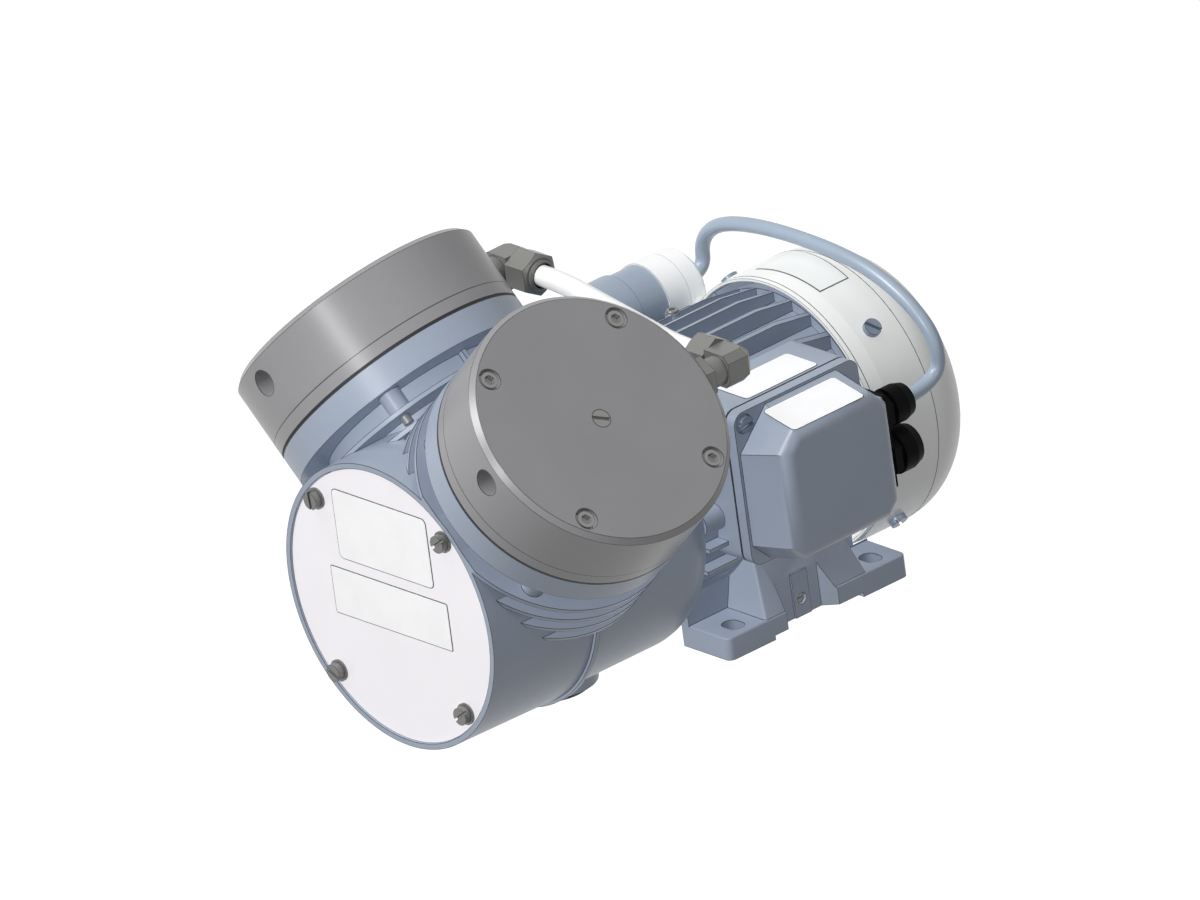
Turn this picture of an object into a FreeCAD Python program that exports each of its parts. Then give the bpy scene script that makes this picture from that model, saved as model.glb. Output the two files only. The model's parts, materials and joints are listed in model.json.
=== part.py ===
import FreeCAD, Part
import math
import os

import Sketcher

# Twin-head diaphragm vacuum pump with its capacitor motor, in millimetres.
# X runs to the terminal box, Y from the front cover to the fan cowl, Z up.
# The origin is the middle of the foot holes, on the underside of the motor feet.

Vector = FreeCAD.Vector
Rotation = FreeCAD.Rotation
Placement = FreeCAD.Placement

# Driving dimensions
SIZES = {
    # Motor frame of size 80: shaft height and foot holes
    "shaft_height": 80.0,
    "foot_hole_across": 125.0,
    "foot_hole_along": 100.0,
    "foot_hole_width": 10.0,
    "foot_slot_length": 13.8,
    "foot_across": 150.0,
    "foot_along": 130.0,
    "foot_thickness": 13.0,
    "foot_inner_edge": 43.5,
    "foot_relief": 2.5,
    "foot_pad_length": 27.0,
    "saddle_height": 46.0,
    "saddle_reach": 70.0,
    "saddle_top_reach": 61.0,
    "saddle_half_length": 47.0,
    "saddle_top_half_length": 30.0,
    "notch_depth": 7.0,
    "notch_front": -21.0,
    "notch_rear": 12.0,
    "frame_front": -68.0,
    "frame_rear": 58.0,
    "frame_radius": 66.0,
    "frame_bore_radius": 60.0,
    "fin_tip_radius": 75.0,
    "fin_low_tip_radius": 71.5,
    "fin_slope_start": 33.5,
    "fin_pitch": 14.2,
    "fin_thickness": 2.6,
    "lug_circle_radius": 66.0,
    "lug_radius": 7.5,
    "lug_length": 13.5,
    "flange_screw_radius": 3.0,
    "flange_screw_grip": 11.0,
    # Crankcase
    "case_front_reach": 71.7,
    "case_front_radius": 82.3,
    "case_rib_root_radius": 83.5,
    "case_rib_radius": 85.5,
    "case_rib_width": 3.0,
    "case_rear_radius": 80.9,
    "case_shoulder_start": -87.4,
    "case_shoulder_radius": 25.0,
    "case_cavity_radius": 75.0,
    "case_ledge_radius": 64.0,
    "case_ledge_thickness": 9.0,
    "bearing_wall_front": -120.0,
    "bearing_wall_thickness": 8.0,
    "bearing_hub_radius": 32.0,
    "winding_space_radius": 54.0,
    "foot_boss_radius": 26.0,
    "foot_boss_drop": 4.5,
    # Necks and heads, heights along each head's axis from the shaft's axis
    "left_head_y": -140.0,
    "head_stagger": 20.3,
    "head_angle": 45.0,
    "neck_radius": 58.0,
    "neck_bore_radius": 48.0,
    "neck_fin_count": 4,
    "neck_fin_top": 81.5,
    "neck_fin_pitch": 10.5,
    "neck_fin_thickness": 2.8,
    "head_radius": 76.0,
    "neck_flange_bottom": 94.0,
    "diaphragm_seat": 110.5,
    "diaphragm_thickness": 1.5,
    "diaphragm_free_radius": 54.0,
    "valve_plate_rim": 7.5,
    "valve_plate_rise": 11.5,
    "valve_plate_centre_radius": 56.0,
    "chamber_depth": 14.0,
    "chamber_roof_radius": 43.0,
    "valve_hole_radius": 5.0,
    "valve_disc_thickness": 1.0,
    "valve_disc_radius": 46.0,
    "head_top": 157.4,
    "cap_chamfer": 3.0,
    "head_bolt_along": 46.0,
    "head_bolt_across": 46.5,
    "head_screw_radius": 3.0,
    "head_screw_head_radius": 5.0,
    "head_screw_head_height": 6.0,
    "head_screw_counterbore": 6.3,
    "head_screw_sink": 0.6,
    "head_screw_end": 74.0,
    "pillar_radius": 6.5,
    "port_height": 142.0,
    "port_radius": 7.4,
    "port_depth": 40.0,
    "centre_screw_radius": 5.3,
    # Front cover
    "cover_radius": 78.7,
    "cover_thickness": 3.2,
    "cover_sink": 1.2,
    "cover_screw_circle": 72.0,
    "cover_screw_radius": 3.0,
    "cover_screw_head_radius": 5.0,
    "cover_screw_head_height": 4.0,
    "cover_washer_radius": 6.2,
    "cover_washer_thickness": 1.3,
    "cover_screw_length": 8.0,
    # Crank drive
    "eccentricity": 4.5,
    "eccentric_radius": 17.5,
    "rod_bearing_radius": 31.0,
    "rod_bearing_width": 14.0,
    "rod_eye_radius": 38.0,
    "rod_shank_width": 26.0,
    "rod_head_radius": 20.0,
    "rod_head_thickness": 8.0,
    "support_disc_radius": 32.0,
    "support_disc_thickness": 5.0,
    "clamp_disc_thickness": 3.5,
    "clamp_land_radius": 14.0,
    "clamp_relief": 1.5,
    "clamp_step": 0.5,
    "clamp_stud_radius": 4.0,
    "counterweight_radius": 44.0,
    "counterweight_thickness": 7.0,
    "shaft_radius": 12.5,
    "shaft_front_radius": 9.5,
    "shaft_bearing_radius": 10.0,
    "shaft_fan_radius": 8.0,
    "bearing_radius": 23.5,
    "bearing_width": 14.0,
    "seal_radius": 16.0,
    "seal_width": 7.0,
    # Motor inside
    "stator_front": -38.0,
    "stator_rear": 32.0,
    "stator_bore_radius": 35.3,
    "air_gap": 0.3,
    "winding_outer_radius": 52.0,
    "winding_inner_radius": 39.0,
    "winding_length": 17.0,
    "shield_thickness": 7.0,
    "shield_hub_radius": 31.0,
    "shield_lug_rear": 84.0,
    "fan_front": 88.0,
    "fan_length": 20.0,
    "fan_radius": 60.0,
    "fan_blade_count": 8,
    # Fan cowl
    "cowl_front": 55.0,
    "cowl_front_radius": 78.0,
    "cowl_radius": 78.9,
    "cowl_dome_start": 95.0,
    "cowl_dome_radius": 36.0,
    "cowl_wall": 1.6,
    "cowl_screw_y": 77.0,
    # Terminal box
    "box_middle_y": -9.0,
    "box_middle_height": 100.0,
    "box_side": 90.0,
    "box_root": 44.4,
    "box_face": 87.0,
    "box_wall": 4.0,
    "box_depth": 17.0,
    "gasket_thickness": 1.0,
    "lid_rim": 3.0,
    "lid_front": 122.6,
    "lid_base_side": 88.0,
    "lid_base_corner": 22.0,
    "lid_face_along": 76.0,
    "lid_face_high": 74.0,
    "lid_face_corner": 9.0,
    "lid_round": 8.0,
    "lid_wall": 3.0,
    "lid_screw_inset": 7.0,
    "entry_thickness": 3.0,
    "gland_x": 97.0,
    "upper_gland_height": 112.0,
    "lower_gland_height": 86.0,
    "upper_gland_radius": 10.8,
    "lower_gland_radius": 13.0,
    "gland_length": 21.0,
    # Fittings and transfer tube
    "elbow_reach": 26.0,
    "elbow_width": 19.0,
    "collar_width": 22.0,
    "collar_length": 7.0,
    "elbow_arm": 14.0,
    "nut_length": 16.0,
    "nut_width": 22.0,
    "tube_radius": 6.0,
    # Rubber foot
    "rubber_foot_y": -129.0,
    "rubber_foot_radius": 22.0,
    "rubber_foot_height": 3.5,
    # Capacitor
    "capacitor_radius": 20.7,
    "capacitor_x": -87.2,
    "capacitor_height": 130.6,
    "capacitor_front": -24.4,
    "capacitor_cap_start": 40.6,
    "capacitor_cap_step": 55.6,
    "capacitor_rear": 68.2,
    "capacitor_cap_radius": 21.6,
    "clamp_front": 3.0,
    "clamp_width": 19.0,
    "clamp_thickness": 1.4,
    "cable_diameter": 8.2,
    # Clearances
    "fit_gap": 0.05,
    "easy_gap": 0.3,
}


class Size(float):
    """A length that also carries its formula in terms of the sheet's cells."""

    def __new__(cls, number, text):
        size = float.__new__(cls, number)
        size.text = text
        return size

    def joined(self, other, sign, number, swapped=False):
        left, right = (formula(other), self.text) if swapped else (self.text, formula(other))
        return Size(number, "(%s %s %s)" % (left, sign, right))

    def __add__(self, other):
        return self.joined(other, "+", float(self) + float(other))

    def __radd__(self, other):
        return self.joined(other, "+", float(self) + float(other), True)

    def __sub__(self, other):
        return self.joined(other, "-", float(self) - float(other))

    def __rsub__(self, other):
        return self.joined(other, "-", float(other) - float(self), True)

    def __mul__(self, other):
        return self.joined(other, "*", float(self) * float(other))

    def __rmul__(self, other):
        return self.joined(other, "*", float(self) * float(other), True)

    def __truediv__(self, other):
        return self.joined(other, "/", float(self) / float(other))

    def __neg__(self):
        return Size(-float(self), "(-%s)" % self.text)


def formula(value):
    """The text of a value in a formula."""
    return value.text if isinstance(value, Size) else "(%.9g)" % float(value)


class Dimensions:
    """The driving dimensions as attributes, each tied to its cell."""


doc = FreeCAD.newDocument("VacuumPump")
sheet = doc.addObject("Spreadsheet::Sheet", "Sizes")
d = Dimensions()
for row, (alias, number) in enumerate(SIZES.items(), start=1):
    sheet.set("A%d" % row, alias)
    sheet.set("B%d" % row, str(number))
    sheet.setAlias("B%d" % row, alias)
    setattr(d, alias, Size(number, "Sizes." + alias))
doc.recompute()

nodes = []


# Helpers that draw and cut

def bind(thing, name, value):
    """Sets a property, tied to the sheet where the value comes from it."""
    if isinstance(value, Size):
        thing.setExpression(name, value.text)


def put(thing, base=(0, 0, 0), rotation=None):
    """Places an object, its position tied to the sheet."""
    turn = rotation or Rotation()
    thing.Placement = Placement(Vector(*[float(value) for value in base]), turn)
    for axis, value in zip("xyz", base):
        bind(thing, "Placement.Base." + axis, value)
    return thing


def keep(thing, name):
    """Marks an object as one of the finished pieces."""
    thing.Label = name
    nodes.append(thing)
    return thing


def new_body(name, base=(0, 0, 0), rotation=None, finished=True):
    body = doc.addObject("PartDesign::Body", name)
    put(body, base, rotation)
    if finished:
        keep(body, name)
    return body


def origin_plane(body, role):
    return [plane for plane in body.Origin.OriginFeatures if plane.Role == role][0]


def new_sketch(body, plane, base=(0, 0, 0), rotation=None):
    """A sketch on one of the body's own planes, moved by base and rotation."""
    sketch = body.newObject("Sketcher::SketchObject", body.Name + "_sketch")
    sketch.AttachmentSupport = [(origin_plane(body, plane), "")]
    sketch.MapMode = "FlatFace"
    turn = rotation or Rotation()
    sketch.AttachmentOffset = Placement(Vector(*[float(value) for value in base]), turn)
    for axis, value in zip("xyz", base):
        bind(sketch, "AttachmentOffset.Base." + axis, value)
    return sketch


def hold(sketch, kind, edge, end, value):
    """Fixes one coordinate of a sketch point, measured from the sketch's origin."""
    if float(value) == 0.0 and not isinstance(value, Size):
        line = -2 if kind == "DistanceX" else -1
        sketch.addConstraint(Sketcher.Constraint("PointOnObject", edge, end, line))
        return
    index = sketch.addConstraint(Sketcher.Constraint(kind, -1, 1, edge, end, float(value)))
    bind(sketch, "Constraints[%d]" % index, value)


def bulge(start, end, radius):
    """An arc between two corners: turning left for a positive radius, else right."""
    chord = end - start
    normal = Vector(-chord.y, chord.x, 0).normalize() * (1 if radius > 0 else -1)
    size = abs(float(radius))
    centre = start + chord * 0.5 + normal * math.sqrt(size ** 2 - (chord.Length / 2) ** 2)
    angles = [math.atan2(point.y - centre.y, point.x - centre.x) for point in (start, end)]
    if radius < 0:
        angles.reverse()
    return Part.ArcOfCircle(Part.Circle(centre, Vector(0, 0, 1), size), *angles)


def draw_outline(sketch, corners):
    """A closed outline, each corner held by its two distances.

    A corner with a third value starts an arc of that radius to the next corner."""
    first = sketch.GeometryCount
    count = len(corners)
    ends = []
    for index in range(count):
        start, end = [Vector(*corners[place % count][:2], 0) for place in (index, index + 1)]
        curve = corners[index][2] if len(corners[index]) > 2 else 0
        edge = bulge(start, end, curve) if curve else Part.LineSegment(start, end)
        sketch.addGeometry(edge, False)
        ends.append((2, 1) if curve < 0 else (1, 2))
        if curve:
            radius = Sketcher.Constraint("Radius", first + index, abs(float(curve)))
            bind(sketch, "Constraints[%d]" % sketch.addConstraint(radius), abs_size(curve))
    for index in range(count):
        following = (index + 1) % count
        sketch.addConstraint(Sketcher.Constraint(
            "Coincident", first + index, ends[index][1], first + following, ends[following][0]))
    for index, corner in enumerate(corners):
        hold(sketch, "DistanceX", first + index, ends[index][0], corner[0])
        hold(sketch, "DistanceY", first + index, ends[index][0], corner[1])


def abs_size(value):
    return -value if value < 0 else value


def draw_circle(sketch, across, along, radius):
    circle = Part.Circle(Vector(across, along, 0), Vector(0, 0, 1), float(radius))
    edge = sketch.addGeometry(circle, False)
    hold(sketch, "DistanceX", edge, 3, across)
    hold(sketch, "DistanceY", edge, 3, along)
    index = sketch.addConstraint(Sketcher.Constraint("Radius", edge, float(radius)))
    bind(sketch, "Constraints[%d]" % index, radius)


def rectangle(left, right, bottom, top):
    return [(left, bottom), (right, bottom), (right, top), (left, top)]


def polygon(across_flats, sides=6, across=0.0, along=0.0):
    """Corners of a regular polygon with flats facing the first direction."""
    radius = across_flats / (2 * math.cos(math.pi / sides))
    corners = []
    for index in range(sides):
        angle = math.pi * (2 * index + 1) / sides
        corners.append((across + radius * math.cos(angle), along + radius * math.sin(angle)))
    return corners


def draw(sketch, shapes):
    """Draws circles (across, along, radius) and outlines (lists of corners)."""
    for shape in shapes:
        if isinstance(shape, list):
            draw_outline(sketch, shape)
        else:
            draw_circle(sketch, *shape)


def volume_of(body):
    doc.recompute()
    return body.Tip.Shape.Volume if body.Tip else 0.0


def finish_feature(body, feature, cut):
    """Checks that a feature added or removed material."""
    before = body.Tip.BaseFeature
    doc.recompute()
    if before is not None:
        change = feature.Shape.Volume - before.Shape.Volume
        if change * (-1 if cut else 1) <= 0:
            raise ValueError("%s of %s changes nothing" % (feature.Name, body.Name))
    return feature


def turned(body, plane, corners, cut=False, angle=360.0, base=(0, 0, 0), rotation=None):
    """Turns outlines about the sketch's upright axis, to add or to cut."""
    sketch = new_sketch(body, plane, base, rotation)
    outlines = corners if isinstance(corners[0], list) else [corners]
    draw(sketch, outlines)
    kind = "PartDesign::Groove" if cut else "PartDesign::Revolution"
    feature = body.newObject(kind, body.Name + ("_groove" if cut else "_turned"))
    feature.Profile = sketch
    feature.ReferenceAxis = (sketch, ["V_Axis"])
    feature.Angle = angle
    if angle < 360.0:
        feature.Midplane = True
    return finish_feature(body, feature, cut)


def extruded(body, plane, start, length, shapes, cut=False, base=None, rotation=None):
    """Extrudes shapes along the plane's own axis from start, to add or to cut.

    The XZ plane's sketches face backwards along Y, so their direction is turned."""
    backwards = plane == "XZ_Plane"
    offset = base if base is not None else (0, 0, -start if backwards else start)
    sketch = new_sketch(body, plane, offset, rotation)
    draw(sketch, shapes)
    kind = "PartDesign::Pocket" if cut else "PartDesign::Pad"
    feature = body.newObject(kind, body.Name + ("_pocket" if cut else "_pad"))
    feature.Profile = sketch
    feature.Length = float(length)
    bind(feature, "Length", length)
    feature.Reversed = backwards != cut
    return finish_feature(body, feature, cut)


def pick_edges(shape, test):
    return ["Edge%d" % (index + 1) for index, edge in enumerate(shape.Edges) if test(edge)]


def dressed(body, kind, amount, test):
    """Rounds or chamfers the edges that the test picks."""
    doc.recompute()
    tip = body.Tip
    edges = pick_edges(tip.Shape, test)
    if not edges:
        raise ValueError("no edges to dress on " + body.Name)
    feature = body.newObject("PartDesign::" + kind, body.Name + "_" + kind.lower())
    feature.Base = (tip, edges)
    name = "Radius" if kind == "Fillet" else "Size"
    setattr(feature, name, float(amount))
    bind(feature, name, amount)
    doc.recompute()
    return feature


def patterned(body, feature, plane_axis, count):
    """Repeats one feature evenly about the body's own axis."""
    axis = [line for line in body.Origin.OriginFeatures if line.Role == plane_axis][0]
    pattern = body.newObject("PartDesign::PolarPattern", body.Name + "_pattern")
    pattern.Originals = [feature]
    pattern.Axis = (axis, [""])
    pattern.Angle = 360
    pattern.Occurrences = int(count)
    bind(pattern, "Occurrences", count)
    body.Tip = pattern
    doc.recompute()
    return pattern


def group(name, master, places):
    """One node of separate solids: copies of the master at the given placements."""
    doc.recompute()
    copies = []
    for place in places:
        shape = master.Shape.copy()
        shape.Placement = place
        copies.append(shape)
    thing = doc.addObject("Part::Feature", name)
    thing.Shape = Part.makeCompound(copies)
    return keep(thing, name)


def edge_on_circle(radius, axis, level):
    """A test for full circles of one radius at one level along an axis."""
    def test(edge):
        curve = edge.Curve
        if not isinstance(curve, Part.Circle):
            return False
        near = abs(getattr(curve.Center, axis) - float(level)) < 0.01
        return near and abs(curve.Radius - float(radius)) < 0.01
    return test


# Shared places

axis_point = (0, 0, d.shaft_height)
right_head_y = d.left_head_y - d.head_stagger
case_front = right_head_y - d.case_front_reach
case_rear = d.frame_front
cover_front = case_front + d.cover_sink
cover_seat = cover_front + d.cover_thickness
rib_front = right_head_y + (0.1)
HEADS = {
    "right": (1, right_head_y),
    "left": (-1, d.left_head_y),
}
quarter_turns = [math.pi / 4 + index * math.pi / 2 for index in range(4)]
plate_bottom = d.diaphragm_seat + d.diaphragm_thickness
cap_bottom = plate_bottom + d.valve_plate_rim
plate_top = cap_bottom + d.valve_plate_rise
cap_ceiling = plate_top + d.valve_disc_thickness
front_bearing_front = d.bearing_wall_front + d.seal_width
front_bearing_rear = front_bearing_front + d.bearing_width
rear_bearing_front = d.frame_rear - d.bearing_width / 2
rear_bearing_rear = rear_bearing_front + d.bearing_width


def head_direction(side):
    """The unit vector of a head's axis."""
    lean = math.radians(d.head_angle) * HEADS[side][0]
    return Vector(math.sin(lean), 0, math.cos(lean))


def head_rotation(side):
    """Turns the upright axis to the head's axis, with Y unchanged."""
    return Rotation(Vector(0, 1, 0), float(d.head_angle) * HEADS[side][0])


def head_body(side, name):
    return new_body("%s_%s" % (side, name), (0, HEADS[side][1], d.shaft_height), head_rotation(side))


def upright_sketch_turn(side):
    """Sketch directions with the head's axis upright and Y across."""
    up = head_direction(side)
    across = Vector(0, 1, 0)
    return Rotation(across, up, across.cross(up), "ZXY")


def level_sketch_turn(side):
    """Sketch directions with Y across and the head's axis as normal."""
    normal = head_direction(side)
    across = Vector(0, 1, 0)
    return Rotation(across, normal.cross(across), normal, "ZXY")


def up_the_neck(side, height):
    """The point at a height on the head's axis, seen from the shaft's axis."""
    way = head_direction(side)
    return (height * way.x, HEADS[side][1], height * way.z)


bolt_places = [
    (along * d.head_bolt_along, across * d.head_bolt_across)
    for along in (1, -1) for across in (1, -1)
]


# Crankcase

def neck_outline():
    """Half section of a neck with its cooling fins, from inside the case up."""
    fin_tops = [d.neck_fin_top - index * d.neck_fin_pitch for index in range(int(d.neck_fin_count))]
    corners = [(0, fin_tops[-1] / 2), (d.neck_radius, fin_tops[-1] / 2)]
    for top in reversed(fin_tops):
        bottom = top - d.neck_fin_thickness
        corners += [(d.neck_radius, bottom), (d.head_radius, bottom)]
        corners += [(d.head_radius, top), (d.neck_radius, top)]
    corners += [(d.neck_radius, d.neck_flange_bottom + 1), (0, d.neck_flange_bottom + 1)]
    return corners


def make_crankcase():
    body = new_body("crankcase", axis_point)
    shoulder_end = d.case_shoulder_start + d.case_shoulder_radius
    rib_rear = rib_front + d.case_rib_width
    turned(body, "XY_Plane", [
        (0, case_front), (d.case_front_radius, case_front),
        (d.case_rib_root_radius, rib_front), (d.case_rib_radius, rib_front),
        (d.case_rib_radius, rib_rear), (d.case_rear_radius, rib_rear),
        (d.case_rear_radius, shoulder_end), (0, shoulder_end),
    ])
    dressed(body, "Fillet", d.case_shoulder_radius,
            edge_on_circle(d.case_rear_radius, "y", shoulder_end))
    for side, (sign, head_y) in HEADS.items():
        turned(body, "XY_Plane", neck_outline(), base=(0, head_y, 0),
               rotation=upright_sketch_turn(side))
    # The fins end flush with the case's front and rear faces.
    beyond = d.case_rib_radius * 3
    extruded(body, "XZ_Plane", case_front - beyond, beyond, [(0, 0, beyond)], cut=True)
    extruded(body, "XZ_Plane", case_rear, beyond, [(0, 0, beyond)], cut=True)
    for side, (sign, head_y) in HEADS.items():
        turned(body, "XY_Plane", rectangle(0, d.head_radius, d.neck_flange_bottom, d.diaphragm_seat),
               base=(0, head_y, 0), rotation=upright_sketch_turn(side))
        lowest = d.neck_fin_top - d.neck_fin_thickness
        pillars = [(along, across, d.pillar_radius) for along, across in bolt_places]
        extruded(body, "XY_Plane", 0, d.neck_flange_bottom + 1 - lowest, pillars,
                 base=up_the_neck(side, lowest), rotation=level_sketch_turn(side))
        # The seam rib runs up the side of the neck to the flange.
        half = d.case_rib_width / 2
        rib = rectangle(-half, half, -(d.neck_radius + 4), d.neck_radius + 4)
        extruded(body, "XY_Plane", 0, d.neck_flange_bottom + 1 - d.neck_bore_radius, [rib],
                 base=up_the_neck(side, d.neck_bore_radius), rotation=level_sketch_turn(side))
    foot_bottom = -(d.shaft_height + d.foot_boss_drop)
    extruded(body, "XY_Plane", foot_bottom, d.shaft_height + d.foot_boss_drop - d.neck_radius,
             [(0, d.rubber_foot_y, d.foot_boss_radius)])
    bore_crankcase(body)
    return body


def bore_crankcase(body):
    """The case's inside, the neck bores and the screw holes."""
    ledge_rear = cover_seat + d.case_ledge_thickness
    wall_rear = d.bearing_wall_front + d.bearing_wall_thickness
    cover_recess = d.cover_radius + d.easy_gap
    seal_bore = d.seal_radius + d.fit_gap
    bearing_bore = d.bearing_radius + d.fit_gap
    turned(body, "XY_Plane", [
        (0, case_front), (cover_recess, case_front), (cover_recess, cover_seat),
        (d.case_ledge_radius, cover_seat), (d.case_ledge_radius, ledge_rear),
        (d.case_cavity_radius, ledge_rear), (d.case_cavity_radius, d.bearing_wall_front),
        (seal_bore, d.bearing_wall_front), (seal_bore, front_bearing_front),
        (bearing_bore, front_bearing_front), (bearing_bore, front_bearing_rear),
        (d.bearing_hub_radius, front_bearing_rear), (d.bearing_hub_radius, wall_rear),
        (d.winding_space_radius, wall_rear), (d.winding_space_radius, case_rear + 1),
        (0, case_rear + 1),
    ], cut=True)
    for side, (sign, head_y) in HEADS.items():
        slope = d.diaphragm_free_radius - d.neck_bore_radius
        low = d.neck_radius
        turned(body, "XY_Plane", [
            (0, low), (d.neck_bore_radius, low),
            (d.neck_bore_radius, d.diaphragm_seat - slope),
            (d.diaphragm_free_radius, d.diaphragm_seat), (0, d.diaphragm_seat),
        ], cut=True, base=(0, head_y, 0), rotation=upright_sketch_turn(side))
        screw_hole = d.head_screw_radius + d.fit_gap
        holes = [(along, across, screw_hole) for along, across in bolt_places]
        lowest = d.neck_fin_top - d.neck_fin_thickness
        extruded(body, "XY_Plane", 0, d.diaphragm_seat - lowest, holes, cut=True,
                 base=up_the_neck(side, lowest), rotation=level_sketch_turn(side))
    cover_holes = [
        (d.cover_screw_circle * math.cos(angle), d.cover_screw_circle * math.sin(angle),
         d.cover_screw_radius + d.fit_gap) for angle in quarter_turns
    ]
    extruded(body, "XZ_Plane", cover_seat, d.case_ledge_thickness, cover_holes, cut=True)
    flange_holes = [
        (d.lug_circle_radius * math.cos(angle), d.lug_circle_radius * math.sin(angle),
         d.flange_screw_radius + d.fit_gap) for angle in LUG_ANGLES
    ]
    extruded(body, "XZ_Plane", d.bearing_wall_front, case_rear - d.bearing_wall_front,
             flange_holes, cut=True)
    stem = d.rubber_foot_radius / 5
    extruded(body, "XY_Plane", -(d.shaft_height + d.foot_boss_drop), d.foot_boss_drop,
             [(0, d.rubber_foot_y, stem + d.fit_gap)], cut=True)


LUG_ANGLES = [index * math.pi / 2 for index in range(4)]


def make_rubber_foot():
    bottom = -(d.foot_boss_drop + d.rubber_foot_height)
    body = new_body("rubber_foot", (0, d.rubber_foot_y, bottom))
    stem = d.rubber_foot_radius / 5
    height = d.rubber_foot_height
    turned(body, "XZ_Plane", [
        (0, 0), (d.rubber_foot_radius - 1, 0), (d.rubber_foot_radius, 1),
        (d.rubber_foot_radius, height), (stem, height), (stem, height + d.foot_boss_drop - 0.2),
        (0, height + d.foot_boss_drop - 0.2),
    ])


def make_front_cover():
    body = new_body("front_cover", axis_point)
    turned(body, "XY_Plane", rectangle(0, d.cover_radius, cover_front, cover_seat))
    holes = [
        (d.cover_screw_circle * math.cos(angle), d.cover_screw_circle * math.sin(angle),
         d.cover_screw_radius + d.easy_gap) for angle in quarter_turns
    ]
    extruded(body, "XZ_Plane", cover_front, d.cover_thickness, holes, cut=True)


# Screws

def slotted_screw(name, radius, head_radius, head_height, length, washer=None):
    """A slotted screw along Z, its head above zero and its shank below."""
    body = new_body(name, finished=False)
    if washer:
        washer_radius, washer_height = washer
        turned(body, "XZ_Plane", [
            (0, -length), (radius, -length), (radius, 0), (washer_radius, 0),
            (washer_radius, washer_height), (head_radius, washer_height),
            (head_radius, washer_height + head_height), (0, washer_height + head_height),
        ])
        top = washer_height + head_height
    else:
        turned(body, "XZ_Plane", [
            (0, -length), (radius, -length), (radius, 0), (head_radius, 0),
            (head_radius, head_height), (0, head_height),
        ])
        top = head_height
    slot = head_radius / 6
    extruded(body, "XY_Plane", top - head_height / 2, head_height / 2,
             [rectangle(-head_radius, head_radius, -slot, slot)], cut=True)
    return body


def socket_screw(name, radius, head_radius, head_height, length):
    """A socket-head screw along Z, its head above zero and its shank below."""
    body = new_body(name, finished=False)
    turned(body, "XZ_Plane", [
        (0, -length), (radius, -length), (radius, 0), (head_radius, 0),
        (head_radius, head_height), (0, head_height),
    ])
    extruded(body, "XY_Plane", head_height / 2, head_height / 2,
             [polygon(head_radius)], cut=True)
    return body


def facing(direction, spin=0.0):
    """Turns the upright axis to a direction, after a spin about itself."""
    return Rotation(Vector(0, 0, 1), direction).multiply(Rotation(Vector(0, 0, 1), spin))


def make_cover_screws():
    master = slotted_screw("cover_screw", d.cover_screw_radius, d.cover_screw_head_radius,
                           d.cover_screw_head_height, d.cover_screw_length + d.cover_thickness,
                           (d.cover_washer_radius, d.cover_washer_thickness))
    places = []
    for index, angle in enumerate(quarter_turns):
        base = Vector(d.cover_screw_circle * math.cos(angle), cover_front,
                      d.shaft_height + d.cover_screw_circle * math.sin(angle))
        places.append(Placement(base, facing(Vector(0, -1, 0), 35 + 60 * index)))
    group("cover_screws", master, places)


def make_head_screws():
    seat = d.head_top - d.head_screw_sink - d.head_screw_head_height
    master = socket_screw("head_screw", d.head_screw_radius, d.head_screw_head_radius,
                          d.head_screw_head_height, seat - d.head_screw_end)
    places = []
    for side, (sign, head_y) in HEADS.items():
        turn = head_rotation(side)
        centre = Vector(0, head_y, d.shaft_height)
        for along, across in bolt_places:
            base = centre + turn.multVec(Vector(across, along, seat))
            places.append(Placement(base, turn))
    group("head_screws", master, places)


def make_centre_screws():
    head_height = d.centre_screw_radius * 0.7
    length = d.head_top - head_height - (plate_top - d.valve_plate_rise / 3)
    master = slotted_screw("centre_screw", d.centre_screw_radius / 2, d.centre_screw_radius,
                           head_height, length)
    places = []
    for side, (sign, head_y) in HEADS.items():
        turn = head_rotation(side)
        base = Vector(0, head_y, d.shaft_height) + turn.multVec(Vector(0, 0, d.head_top - head_height))
        places.append(Placement(base, turn.multiply(Rotation(Vector(0, 0, 1), 60))))
    group("centre_screws", master, places)


# Heads

def make_valve_plate(side):
    """Plate with the pumping chamber below and the valve seats above."""
    body = head_body(side, "valve_plate")
    roof = plate_bottom + d.chamber_depth
    turned(body, "XZ_Plane", [
        (0, roof), (d.chamber_roof_radius, roof), (d.diaphragm_free_radius, plate_bottom),
        (d.head_radius, plate_bottom), (d.head_radius, cap_bottom),
        (d.valve_plate_centre_radius, cap_bottom), (d.valve_plate_centre_radius, plate_top),
        (0, plate_top),
    ])
    clear = d.head_screw_radius + d.easy_gap
    holes = [(across, along, clear) for along, across in bolt_places]
    extruded(body, "XY_Plane", plate_bottom, d.valve_plate_rim, holes, cut=True)
    valve_y = d.head_radius - d.port_depth
    valves = [(0, sign * valve_y, d.valve_hole_radius) for sign in (1, -1)]
    extruded(body, "XY_Plane", roof, plate_top - roof, valves, cut=True)
    depth = d.valve_plate_rise / 3
    extruded(body, "XY_Plane", plate_top - depth, depth,
             [(0, 0, d.centre_screw_radius / 2 + d.fit_gap)], cut=True)


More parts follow.
